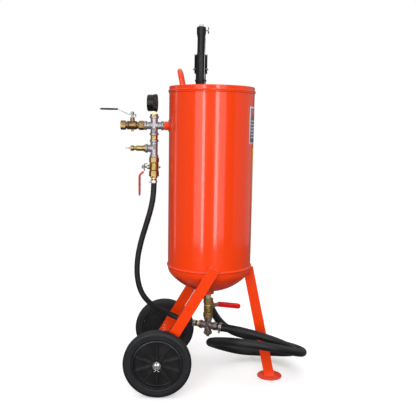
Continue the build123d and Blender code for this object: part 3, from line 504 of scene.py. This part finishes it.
# ---------------------------------------------------------------- browned fittings
# The lower mixing cross, its clean-out plug and the blast hose fitting: bare cast iron, screwed
# up with oil on the threads and browned by it and by thin rust.
brown = Finish("browned_iron", "brown_iron", {"Metallic": 0.75})
shiny, brown_edge = brown.worn(0.0010)
rust = brown.step(brown.noise(75.0, 6.0), 0.40, 0.68)
scale = brown.noise(480.0, 5.0)
brown.drive(
    colour=brown.blend(
        shiny * 0.6, brown.blend(rust, (0.22, 0.178, 0.168, 1), (0.31, 0.245, 0.235, 1)),
        (0.60, 0.53, 0.51, 1),
    ),
    roughness=0.24 + rust * 0.16, metal=0.9 - rust * 0.25,
    relief=scale + brown.noise(120.0, 2.0) * 1.6, depth=0.00035, normal=brown_edge,
)
brown.cover("mixing_cross", "cleanout_plug", "blast_barb")

# ---------------------------------------------------------------- brass
# Forged brass valves with a sand-blasted skin, two of them yellow and the inlet's browner, and
# machined brass nipples, bushings and barbs screwed between the fittings.


def forging(name, clean, dull, bright):
    """Blasted brass forging: clean metal dulled in patches, bright on its rubbed edges."""
    brass = Finish(name, "brass", {"Metallic": 1.0})
    polished, forged_edge = brass.worn(0.0008)
    tarnish = brass.step(brass.noise(48.0, 5.0), 0.36, 0.72)
    brass.drive(
        colour=brass.blend(polished * 0.6, brass.blend(tarnish, clean, dull), bright),
        roughness=0.29 + tarnish * 0.14 - polished * 0.08,
        relief=brass.noise(1100.0, 3.0) + brass.noise(150.0, 2.0), depth=0.00014, normal=forged_edge,
    )
    return brass


yellow_brass = forging(
    "yellow_brass", (0.46, 0.33, 0.115, 1), (0.33, 0.23, 0.085, 1), (0.70, 0.53, 0.24, 1)
)
yellow_brass.cover("hose_valve_body", "outlet_valve_body", "safety_valve_body")
brown_brass = forging(
    "brown_brass", (0.27, 0.172, 0.076, 1), (0.18, 0.112, 0.050, 1), (0.50, 0.35, 0.17, 1)
)
brown_brass.cover("inlet_valve_body", "safety_valve_stem")

machined = Finish("machined_brass", "brass", {"Metallic": 1.0})
glint, machined_edge = machined.worn(0.0005)
fingered = machined.step(machined.noise(70.0, 4.0), 0.4, 0.75)
tool_marks = machined.noise(1400.0, 1.0, (1, 1, 0.1))
machined.drive(
    colour=machined.blend(fingered, (0.80, 0.55, 0.20, 1), (0.58, 0.37, 0.13, 1)),
    roughness=0.16 + fingered * 0.16 + tool_marks * 0.06 - glint * 0.05,
    relief=tool_marks, depth=0.00003, normal=machined_edge,
)
machined.cover(
    "manifold_nipples", "gauge_bushing", "gauge_stem", "outlet_nipple", "air_hose_barbs",
)

# ---------------------------------------------------------------- thread tape
# Thread sealing tape: white PTFE film wound over the threads, overlapping in soft ridges and
# frayed at the edge.
tape = Finish("thread_tape", "dial_white", {"Roughness": 0.55})
crease = tape.noise(700.0, 4.0, (1, 1, 2.5))
tape.drive(
    colour=tape.blend(
        tape.step(tape.noise(260.0, 3.0), 0.40, 0.60), (0.58, 0.54, 0.48, 1), (0.24, 0.16, 0.085, 1)
    ),
    roughness=0.45 + crease * 0.2, relief=crease, depth=0.0003,
)


def wound_tape(name, start, along, radius, width, turns):
    """Tape wound on a thread: radius + 0.25 mm of ridges along it, with a ragged free edge that
    wanders by half a millimetre round the turn."""
    def section(angle):
        share = np.linspace(0, 1, 26)
        wander = 0.0005 * np.sin(3 * angle) + 0.0003 * np.sin(11 * angle + 1)
        ridge = 0.00025 * np.abs(np.sin(np.pi * turns * share[None] + angle[:, None] / 2))
        swell = 0.0003 * np.sin(np.pi * share[None]) ** 0.5
        reach = share[None] * (width + wander[:, None])
        outside = np.stack([radius + ridge + swell, reach], axis=-1)
        inside = outside[:, [-1, 0]] - (0.0008, 0.0)
        return np.concatenate([outside, inside], axis=1)
    return lathe(name, start, along, section, tape, "tank", steps=120)


manifold_x, cross_reach = tank_x - 0.2195, 0.0368
port_end_x, outlet_tape_low = tank_x - 0.1795, 0.3208
wound_tape("outlet_tape", (tank_x, 0, outlet_tape_low), (0, 0, 1), radius=0.0106, width=0.0186, turns=5)
wound_tape(
    "inlet_tape", (manifold_x - cross_reach, 0, manifold_height), (-1, 0, 0),
    radius=0.0107, width=0.0022, turns=2,
)
wound_tape(
    "port_tape", (port_end_x, 0, manifold_height), (-1, 0, 0), radius=0.0107, width=0.0030, turns=2
)

# ---------------------------------------------------------------- vinyl sleeves
# Soft vinyl sleeves on the valve levers, made by dipping the warm lever: glossy and slightly
# wavy, black on the inlet and red on the other two.


def dipped(name, slot, deep, light):
    """Dipped vinyl: a wavy gloss skin with paler scuffs."""
    vinyl = Finish(name, slot, {"Coat Weight": 0.06, "Coat Roughness": 0.12, "Specular IOR Level": 0.2})
    rub = vinyl.step(vinyl.noise(90.0, 5.0, (1, 3, 3)), 0.50, 0.75)
    wave = vinyl.noise(95.0, 2.0)
    vinyl.drive(
        colour=vinyl.blend(rub, deep, light), roughness=0.28 + rub * 0.2,
        relief=wave * 3.0 + vinyl.noise(1200.0, 2.0) * 0.2, depth=0.0003,
    )
    return vinyl


red_vinyl = dipped("red_vinyl", "red_vinyl", (0.66, 0.002, 0.006, 1), (0.66, 0.008, 0.012, 1))
black_vinyl = dipped("black_vinyl", "black_vinyl", (0.006, 0.006, 0.007, 1), (0.022, 0.022, 0.024, 1))


def sleeve(valve, vinyl, centre, spindle, lever, route, half_width, half_thick):
    """A dipped sleeve along a bent lever: a super-ellipse section (cos^0.6, sin^0.6) carried along
    the rounded route of (reach, stand) points, swelling by a tenth in the middle and rounded off
    at its tip."""
    route = np.asarray(route, float)
    reach = np.insert(np.cumsum(np.linalg.norm(np.diff(route, axis=0), axis=1)), 0, 0.0)
    where = np.linspace(0, reach[-1], 90)
    line = np.stack([np.interp(where, reach, route[:, k]) for k in range(2)], axis=1)
    window = np.ones(9) / 9
    eased = np.stack([np.convolve(np.pad(line[:, k], 4, "edge"), window, "valid") for k in range(2)], axis=1)
    eased[:4], eased[-4:] = line[:4], line[-4:]
    ahead = np.gradient(eased, axis=0)
    ahead /= np.linalg.norm(ahead, axis=1, keepdims=True)
    left = (reach[-1] - where) / half_width
    close = np.sqrt(1 - np.clip(1 - left, 0, 0.9995) ** 2)
    close[0] = 0.35
    bulge = 1 + 0.10 * np.sin(np.pi * where / reach[-1]) ** 2 + 0.02 * np.sin(where * 330)
    angle = np.linspace(0, 2 * np.pi, 28, endpoint=False)
    wide = np.sign(np.cos(angle)) * np.abs(np.cos(angle)) ** 0.6 * half_width
    thick = np.sign(np.sin(angle)) * np.abs(np.sin(angle)) ** 0.6 * half_thick
    spindle, lever = np.array(spindle), np.array(lever)
    side = np.cross(spindle, lever)
    middle = np.array(centre) + eased[:, :1] * lever + eased[:, 1:] * spindle
    normal = ahead[:, :1] * spindle - ahead[:, 1:] * lever
    size_w, size_t = close[:, None] * wide, close[:, None] * thick * bulge[:, None]
    points = middle[:, None] + side * size_w[..., None] + normal[:, None] * size_t[..., None]
    made = grid_mesh(f"{valve}_grip", points, vinyl, f"{valve}_handle")
    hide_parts(f"{valve}_valve_sleeve")


# Centres of the three balls, and half the lever plate's thickness, which the routes run along.
inlet_ball = (tank_x - 0.3029, 0, manifold_height)
hose_ball = (manifold_x, 0, 0.8395)
outlet_ball, outlet_turn = (tank_x, 0, 0.2818), math.radians(-16)
plate_middle = 0.00125
sleeve(
    "inlet", black_vinyl, inlet_ball, spindle=(0, 0, 1), lever=(-1, 0, 0),
    route=[(0.0555, 0.0585 + plate_middle), (0.058, 0.059 + plate_middle), (0.1256, 0.059 + plate_middle)],
    half_width=0.0094, half_thick=0.0033,
)
sleeve(
    "hose", red_vinyl, hose_ball, spindle=(-1, 0, 0), lever=(0, 0, -1),
    route=[(0.0185, 0.0390 + plate_middle), (0.033, 0.0545 + plate_middle), (0.1135, 0.0545 + plate_middle)],
    half_width=0.0100, half_thick=0.0037,
)
sleeve(
    "outlet", red_vinyl, outlet_ball, spindle=(-math.sin(outlet_turn), math.cos(outlet_turn), 0),
    lever=(math.cos(outlet_turn), math.sin(outlet_turn), 0),
    route=[(0.0275, 0.0518 + plate_middle), (0.031, 0.056 + plate_middle), (0.1195, 0.056 + plate_middle)],
    half_width=0.0108, half_thick=0.0042,
)

# ---------------------------------------------------------------- gauge
# A 65 mm dry gauge: black pressed case with a fluted rim, white dial with printed ticks and
# figures, black pointer and a flat acrylic lens.
case = Finish("gauge_enamel", "black_plastic", {"Coat Weight": 0.1, "Specular IOR Level": 0.25})
thin, case_edge = case.worn(0.0006)
ripple = case.noise(300.0, 3.0)
case.drive(
    colour=case.blend(thin * 0.4 + ripple * 0.15, (0.002, 0.002, 0.003, 1), (0.016, 0.016, 0.019, 1)),
    roughness=0.26 + ripple * 0.12, relief=ripple, depth=0.00004, normal=case_edge,
)
case.cover("gauge_case")
enamel = Finish("dial_enamel", "dial_white", {"Specular IOR Level": 0.4})
cream = enamel.noise(120.0, 3.0)
enamel.drive(
    colour=enamel.blend(cream, (0.80, 0.80, 0.78, 1), (0.72, 0.71, 0.67, 1)), roughness=0.36 + cream * 0.1,
    relief=enamel.noise(1500.0, 2.0), depth=0.00002,
)
enamel.cover("gauge_dial")
ink = Finish("dial_ink", "black_metal", {"Specular IOR Level": 0.35})
speck = ink.noise(1800.0, 2.0)
ink.drive(
    colour=ink.blend(speck, (0.006, 0.006, 0.007, 1), (0.03, 0.03, 0.03, 1)), roughness=0.4 + speck * 0.15,
    relief=speck, depth=0.00002,
)
ink.cover("gauge_pointer")
acrylic = Finish(
    "gauge_acrylic", "lens_glass",
    {"Transmission Weight": 1.0, "IOR": 1.49, "Base Color": (0.96, 0.98, 1.0, 1), "Alpha": 0.3},
)
smear = acrylic.step(acrylic.noise(60.0, 5.0), 0.45, 0.8)
acrylic.drive(roughness=0.015 + smear * 0.05, relief=acrylic.noise(40.0, 1.0), depth=0.00004)
acrylic.cover("gauge_lens")

# The dial faces the foot side, turned three degrees towards the near side.
gauge_turn = math.radians(-3)
gauge_face = Vector((math.cos(gauge_turn), math.sin(gauge_turn), 0))
gauge_right = Vector((0, 0, 1)).cross(gauge_face).normalized()
gauge_axis = Vector((tank_x - 0.2235, 0, 1.0835)) - gauge_face * 0.021


def fluted(angle):
    """Rim section whose outer radius rises by 0.5 mm on each of 96 flutes, its corners eased."""
    rim_inner, rim_outer, rim_back, rim_front = np.full_like(angle, 0.0318), 0.0328, 0.0240, 0.0360
    outer = rim_outer + 0.0005 * np.clip(np.sin(96 * angle), -0.2, 1)
    stack = [(rim_inner, rim_back), (outer - 0.0003, rim_back), (outer, rim_back + 0.0004),
             (outer, rim_front - 0.0005), (outer - 0.0004, rim_front), (rim_inner, rim_front)]
    return np.stack([np.stack([r, np.full_like(angle, d)], axis=-1) for r, d in stack], axis=1)


lathe("gauge_fluted_rim", gauge_axis, gauge_face, fluted, case, "tank", steps=576)


def on_dial(flat, lift):
    """Points on the dial, from (..., 2) steps to the right and up, raised by lift from its axis."""
    return (np.array(gauge_axis + gauge_face * lift) + flat[..., :1] * np.array(gauge_right)
            + flat[..., 1:] * np.array((0.0, 0.0, 1.0)))


# Fifty divisions from lower left to lower right, every fifth one longer and thicker.
dial_face, ink_film = 0.0234, 0.00006
scale_start, scale_stop, tick_count = 225, -45, 51
tick_end, long_tick, short_tick, thick_half, thin_half = 0.0253, 0.0212, 0.0228, 0.0003, 0.00012
sweep = np.radians(np.linspace(scale_start, scale_stop, tick_count))
major = np.arange(tick_count) % 5 == 0
spokes = np.stack([np.cos(sweep), np.sin(sweep)], axis=1)
sides = np.stack([-np.sin(sweep), np.cos(sweep)], axis=1) * np.where(major, thick_half, thin_half)[:, None]
inner_ends = spokes * np.where(major, long_tick, short_tick)[:, None]
outer_ends = spokes * tick_end
corners = np.stack([inner_ends - sides, outer_ends - sides, outer_ends + sides, inner_ends + sides], axis=1)
blocks = np.concatenate([on_dial(corners, dial_face - ink_film), on_dial(corners, dial_face)], axis=1)
block_faces = np.array([(3, 2, 1, 0), (4, 5, 6, 7), (0, 1, 5, 4), (1, 2, 6, 5), (2, 3, 7, 6), (3, 0, 4, 7)])
tick_mesh = bpy.data.meshes.new("dial_ticks")
tick_mesh.from_pydata(
    blocks.reshape(-1, 3).tolist(), [],
    (block_faces[None] + 8 * np.arange(tick_count)[:, None, None]).reshape(-1, 4).tolist(),
)
piece("dial_ticks", tick_mesh, ink, "tank")
ring_inner, ring_outer = 0.0252, 0.0256
scale_arc = np.stack([
    on_dial(spokes * reach, lift)
    for reach, lift in ((ring_inner, dial_face - ink_film), (ring_outer, dial_face - ink_film),
                        (ring_outer, dial_face), (ring_inner, dial_face))
], axis=1)
grid_mesh("dial_ring", scale_arc, ink, "tank")
figure_count, figure_size, figure_reach = 6, 0.0062, 0.0172
for step in range(figure_count):
    letters = bpy.data.curves.new(f"dial_figure_{step}", "FONT")
    letters.body, letters.size, letters.extrude = str(step * 2), figure_size, ink_film / 2
    letters.align_x, letters.align_y = "CENTER", "CENTER"
    holder = bpy.data.objects.new("figure", letters)
    bpy.context.scene.collection.objects.link(holder)
    bpy.context.view_layer.update()
    mesh = bpy.data.meshes.new_from_object(holder.evaluated_get(bpy.context.evaluated_depsgraph_get()))
    bpy.data.objects.remove(holder)
    angle = math.radians(scale_start + (scale_stop - scale_start) * step / (figure_count - 1))
    middle = (gauge_axis + gauge_face * (dial_face - ink_film / 2)
              + gauge_right * (figure_reach * math.cos(angle))
              + Vector((0, 0, figure_reach * math.sin(angle))))
    mesh.transform(Matrix.Translation(middle) @ Matrix(
        (gauge_right, Vector((0, 0, 1)), gauge_face)
    ).transposed().to_4x4())
    solid = bmesh.new()
    solid.from_mesh(mesh)
    bmesh.ops.remove_doubles(solid, verts=solid.verts, dist=1e-7)
    solid.to_mesh(mesh)
    solid.free()
    piece(f"dial_figure_{step}", mesh, ink, "tank")

# ---------------------------------------------------------------- open pipe threads
# Half inch female thread in the open end of the inlet valve, cut in the brass with a tap at
# 14 turns to the inch; the air line screws in here.


def thread_turns(name, start, along, radius, length, finish, body):
    """Inside thread: a tube of that radius whose wall dips by height in a saw along its length,
    the saw shifted by one pitch each time round."""
    height, pitch = 0.0009, 0.001814

    def section(angle):
        where = np.linspace(0, length, 60)
        phase = (where[None] / pitch + angle[:, None] / (2 * np.pi)) % 1.0
        bore = np.stack(
            [radius - height * (1 - np.abs(2 * phase - 1)), np.broadcast_to(where, phase.shape)], axis=-1
        )
        root = np.broadcast_to([(radius + 0.0002, length), (radius + 0.0002, 0.0)], (len(angle), 2, 2))
        return np.concatenate([bore, root], axis=1)
    return lathe(name, start, along, section, finish, body, steps=72)


inlet_mouth = (tank_x - 0.3474, 0, manifold_height)
thread_turns(
    "inlet_thread", inlet_mouth, (1, 0, 0), radius=0.01048, length=0.012, finish=machined, body="tank"
)

# ---------------------------------------------------------------- hoses
# Two black rubber hoses, moulded smooth and a little dusty: a 22 mm air hose from the side valve
# down to the mixing cross, and a 32 mm blast hose that loops twice and climbs to the gun.
rubber = Finish("hose_rubber", "black_rubber", {"Specular IOR Level": 0.3})
dust = rubber.step(rubber.noise(9.0, 5.0), 0.42, 0.75)
skin = rubber.noise(900.0, 3.0)
scuff = rubber.step(rubber.noise(60.0, 6.0, (1, 1, 3)), 0.58, 0.72)
rubber.drive(
    colour=rubber.blend(
        dust * 0.5 + scuff * 0.18, (0.0065, 0.0067, 0.0078, 1), (0.034, 0.033, 0.033, 1)
    ),
    roughness=0.42 + dust * 0.16 + skin * 0.08,
    relief=skin * 0.6 + rubber.noise(180.0, 2.0) * 1.4,
    depth=0.00022,
)


def hose(name, points, radius):
    """A round hose whose centre line is the NURBS spline that these points control."""
    curve = bpy.data.curves.new(name, "CURVE")
    curve.dimensions = "3D"
    spline = curve.splines.new("NURBS")
    spline.points.add(len(points) - 1)
    spline.points.foreach_set("co", np.insert(points, 3, 1.0, axis=1).ravel())
    spline.order_u = 3
    spline.use_endpoint_u = True
    spline.resolution_u = 24
    curve.bevel_depth = radius
    curve.bevel_resolution = 10
    curve.use_fill_caps = True
    curve.materials.append(rubber.material)
    made = bpy.data.objects.new(f"{name}_rubber", curve)
    bpy.context.scene.collection.objects.link(made)
    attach(made, "tank")
    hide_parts(name)
    return made


offset = np.array((tank_x, 0.0, 0.0))
mixer = Vector((tank_x, 0, 0.2088))
mixer_turn = math.radians(-25)
mixer_way = Vector((math.cos(mixer_turn), math.sin(mixer_turn), 0))
hose_butt = 0.0451
air_points = np.array([
    (-0.2195, 0.0, 0.7919),
    (-0.2195, 0.0, 0.745),
    (-0.228, 0.002, 0.686),
    (-0.248, 0.004, 0.616),
    (-0.270, 0.006, 0.545),
    (-0.285, 0.008, 0.470),
    (-0.286, 0.010, 0.398),
    (-0.270, 0.012, 0.335),
    (-0.237, 0.024, 0.288),
    (-0.196, 0.044, 0.254),
    (-0.148, 0.061, 0.229),
]) + offset
air_tail = [mixer - mixer_way * (hose_butt + 0.060), mixer - mixer_way * hose_butt]
air_points = np.vstack([air_points, [list(point) for point in air_tail]])
air_hose = hose("air_hose", air_points, 0.011)
blast_points = np.array([
    (0.168, -0.079, 0.204),
    (0.236, -0.097, 0.190),
    (0.300, -0.079, 0.160),
    (0.345, -0.026, 0.122),
    (0.356, 0.043, 0.085),
    (0.334, 0.110, 0.055),
    (0.284, 0.157, 0.038),
    (0.216, 0.175, 0.031),
    (0.144, 0.164, 0.039),
    (0.075, 0.129, 0.067),
    (0.019, 0.068, 0.107),
    (0.005, -0.015, 0.144),
    (0.036, -0.094, 0.177),
    (0.105, -0.152, 0.196),
    (0.193, -0.176, 0.193),
    (0.282, -0.158, 0.171),
    (0.352, -0.104, 0.139),
    (0.386, -0.020, 0.107),
    (0.387, 0.072, 0.084),
    (0.344, 0.152, 0.072),
    (0.268, 0.204, 0.070),
    (0.186, 0.224, 0.084),
    (0.108, 0.225, 0.103),
    (0.046, 0.221, 0.154),
    (0.002, 0.215, 0.236),
    (-0.028, 0.208, 0.332),
    (-0.045, 0.202, 0.440),
    (-0.050, 0.198, 0.560),
    (-0.050, 0.195, 0.690),
    (-0.047, 0.193, 0.820),
    (-0.046, 0.192, 0.955),
    (-0.046, 0.192, 1.096),
]) + offset
blast_head = [mixer + mixer_way * hose_butt, mixer + mixer_way * (hose_butt + 0.066)]
blast_points = np.vstack([[list(point) for point in blast_head], blast_points])
blast_hose = hose("blast_hose", blast_points, 0.016)

# ---------------------------------------------------------------- small rubber and ceramic parts
# The filler gasket is die-cut from sheet in the same rubber as the hoses, and sits under its
# plug; the nozzle is a fired alumina tube held by the gun's nut.
rubber.cover("filler_gasket")
alumina = Finish("fired_alumina", "ceramic", {"Specular IOR Level": 0.45})
fleck = alumina.step(alumina.noise(900.0, 3.0), 0.5, 0.7)
alumina.drive(
    colour=alumina.blend(fleck, (0.66, 0.64, 0.60, 1), (0.50, 0.47, 0.43, 1)), roughness=0.42 + fleck * 0.15,
    relief=alumina.noise(1500.0, 3.0), depth=0.00006,
)
alumina.cover("blast_nozzle")

# ---------------------------------------------------------------- blast gun
# Die-cast aluminium gun with black powder coat, a pressed steel dead-man lever in the same black and a
# chromed wing bolt on the nozzle nut. Beside the body stands a thin zinc plated rod that is a painted
# highlight: it stands for the bright line along the lever's edge.
coat = Finish("black_powder_coat", "black_metal", {"Specular IOR Level": 0.3})
bare, coat_edge = coat.worn(0.0007)
texture = coat.noise(850.0, 3.0)
handled = coat.step(coat.noise(40.0, 4.0), 0.4, 0.8)
coat.drive(
    colour=coat.blend(bare * 0.3 + handled * 0.06, (0.0035, 0.004, 0.0045, 1), (0.08, 0.08, 0.085, 1)),
    roughness=0.38 + handled * 0.1 - bare * 0.08, relief=texture, depth=0.00014, normal=coat_edge,
)
coat.cover("gun_body", "nozzle_nut", "gun_lever")
chrome = Finish("chrome_plate", "chrome", {"Metallic": 1.0})
buffed, chrome_edge = chrome.worn(0.0005)
breath = chrome.step(chrome.noise(140.0, 4.0), 0.45, 0.8)
chrome.drive(
    colour=chrome.blend(breath, (0.62, 0.63, 0.65, 1), (0.42, 0.42, 0.42, 1)),
    roughness=0.06 + breath * 0.12 + buffed * 0.02, relief=breath, depth=0.00003, normal=chrome_edge,
)
chrome.cover("wing_bolt")
gun_x, gun_y = tank_x - 0.046, 0.192


def rod(name, corners, radius, finish, body):
    """A drawn rod of round section along the corners, resampled every 2 mm, its ends closed with
    a small chamfer."""
    corners = np.asarray(corners, float)
    reach = np.insert(np.cumsum(np.linalg.norm(np.diff(corners, axis=0), axis=1)), 0, 0.0)
    where = np.unique(np.concatenate([
        [0, radius * 0.3], np.arange(radius, reach[-1] - radius, 0.002), [reach[-1] - radius * 0.3, reach[-1]]
    ]))
    line = np.stack([np.interp(where, reach, corners[:, k]) for k in range(3)], axis=1)
    radii = np.full(len(where), radius)
    radii[0] = radii[-1] = radius * 0.7
    return grid_mesh(name, along_line(line, radii, 14, closed=False), finish, body)


# A painted highlight: this thin plated rod stands for the bright line along the dead-man lever's edge beside
# the body.
rod(
    "gun_highlight_rod",
    [(gun_x + 0.0150, gun_y - 0.0160, 1.1000), (gun_x + 0.0150, gun_y - 0.0160, 1.3000),
     (gun_x + 0.0165, gun_y - 0.0120, 1.3560)],
    radius=0.0021, finish=lever_plate, body="tank",
)

# ---------------------------------------------------------------- stage
# A round white floor and soft lights: two tall strips and two panels in front, one fill high up,
# and a wall and an edge light on each side.  The floor throws no light back at the machine.
floor_radius, floor_corners = 2.4, 128
ground_mesh = bpy.data.meshes.new("floor")
rim = np.linspace(0, 2 * np.pi, floor_corners, endpoint=False)
disc = np.stack([floor_radius * np.cos(rim), floor_radius * np.sin(rim), np.zeros_like(rim)], axis=1)
ground_mesh.from_pydata(disc.tolist(), [], [tuple(range(floor_corners))])
floor = bpy.data.objects.new("floor", ground_mesh)
bpy.context.scene.collection.objects.link(floor)
pale = Finish(
    "pale_floor", "dial_white",
    {"Specular IOR Level": 0.1, "Emission Color": (1, 1, 1, 1), "Emission Strength": 0.22},
)
mottle = pale.noise(3.0, 3.0)
pale.drive(
    colour=pale.blend(mottle, (0.93, 0.93, 0.93, 1), (0.91, 0.91, 0.91, 1)), roughness=0.75 + mottle * 0.1
)
ground_mesh.materials.append(pale.material)
floor.visible_diffuse = floor.visible_glossy = False

room = bpy.data.worlds.new("white_room")
room.use_nodes = True
sky = room.node_tree


def sky_node(kind, settings=(), links=(), values=()):
    """A node of the room's light with its settings, links and values."""
    node = sky.nodes.new("ShaderNode" + kind)
    for name, value in settings:
        setattr(node, name, value)
    for socket, value in values:
        node.inputs[socket].default_value = value
    for socket, source in links:
        sky.links.new(source, node.inputs[socket])
    return node


# The ceiling is a bright soft panel and the walls are dim, so glossy metal keeps its contrast;
# the backdrop itself shows as plain white.
way = sky_node("SeparateXYZ", links=[(0, sky_node("TexCoord").outputs["Generated"])])
ceiling = sky_node(
    "MapRange", [("interpolation_type", "SMOOTHSTEP")], [(0, way.outputs["Z"])],
    [(1, 0.10), (2, 0.90), (3, 0.15), (4, 1.15)],
)
shown = sky_node(
    "Mix", [("data_type", "FLOAT")],
    [(0, sky_node("LightPath").outputs["Is Camera Ray"]), (2, ceiling.outputs[0])], [(3, 1.0)],
)
sky.links.new(shown.outputs[0], sky.nodes["Background"].inputs["Strength"])
sky.nodes["Background"].inputs["Color"].default_value = (1.0, 1.0, 1.0, 1)
bpy.context.scene.world = room


def softbox(name, azimuth, distance, height, width, tall, power):
    """A rectangular light round the tank, facing its axis; azimuth is from the near side."""
    light = bpy.data.lights.new(name, "AREA")
    light.shape, light.size, light.size_y, light.energy = "RECTANGLE", width, tall, power
    made = bpy.data.objects.new(name, light)
    turn_to = math.radians(azimuth)
    where = Vector((tank_x + distance * math.sin(turn_to), -distance * math.cos(turn_to), height))
    aim = Vector((tank_x, 0, 0.75)) - where
    made.matrix_world = Matrix.Translation(where) @ aim.to_track_quat("-Z", "Y").to_matrix().to_4x4()
    made.visible_camera = False
    bpy.context.scene.collection.objects.link(made)


# Azimuth in degrees; distance, height, width and length in metres; power in watts.
softbox("left_strip", -20.0, 3.2, 1.1, 0.36, 2.4, 27.0)
softbox("left_panel", -33.0, 3.4, 1.1, 1.3, 2.4, 24.0)
softbox("right_strip", 14.0, 3.4, 1.1, 0.50, 2.4, 34.0)
softbox("right_panel", 27.0, 3.6, 1.1, 1.3, 2.4, 20.0)
softbox("left_edge", -108.0, 3.0, 1.1, 0.4, 2.4, 4.0)
softbox("right_edge", 125.0, 3.2, 1.1, 1.6, 2.4, 5.0)
softbox("left_wall", -80.0, 3.2, 1.1, 2.6, 2.4, 2.5)
softbox("right_wall", 88.0, 3.2, 1.1, 3.0, 2.4, 9.0)
softbox("broad_fill", -4.0, 4.6, 3.2, 3.4, 1.6, 26.0)
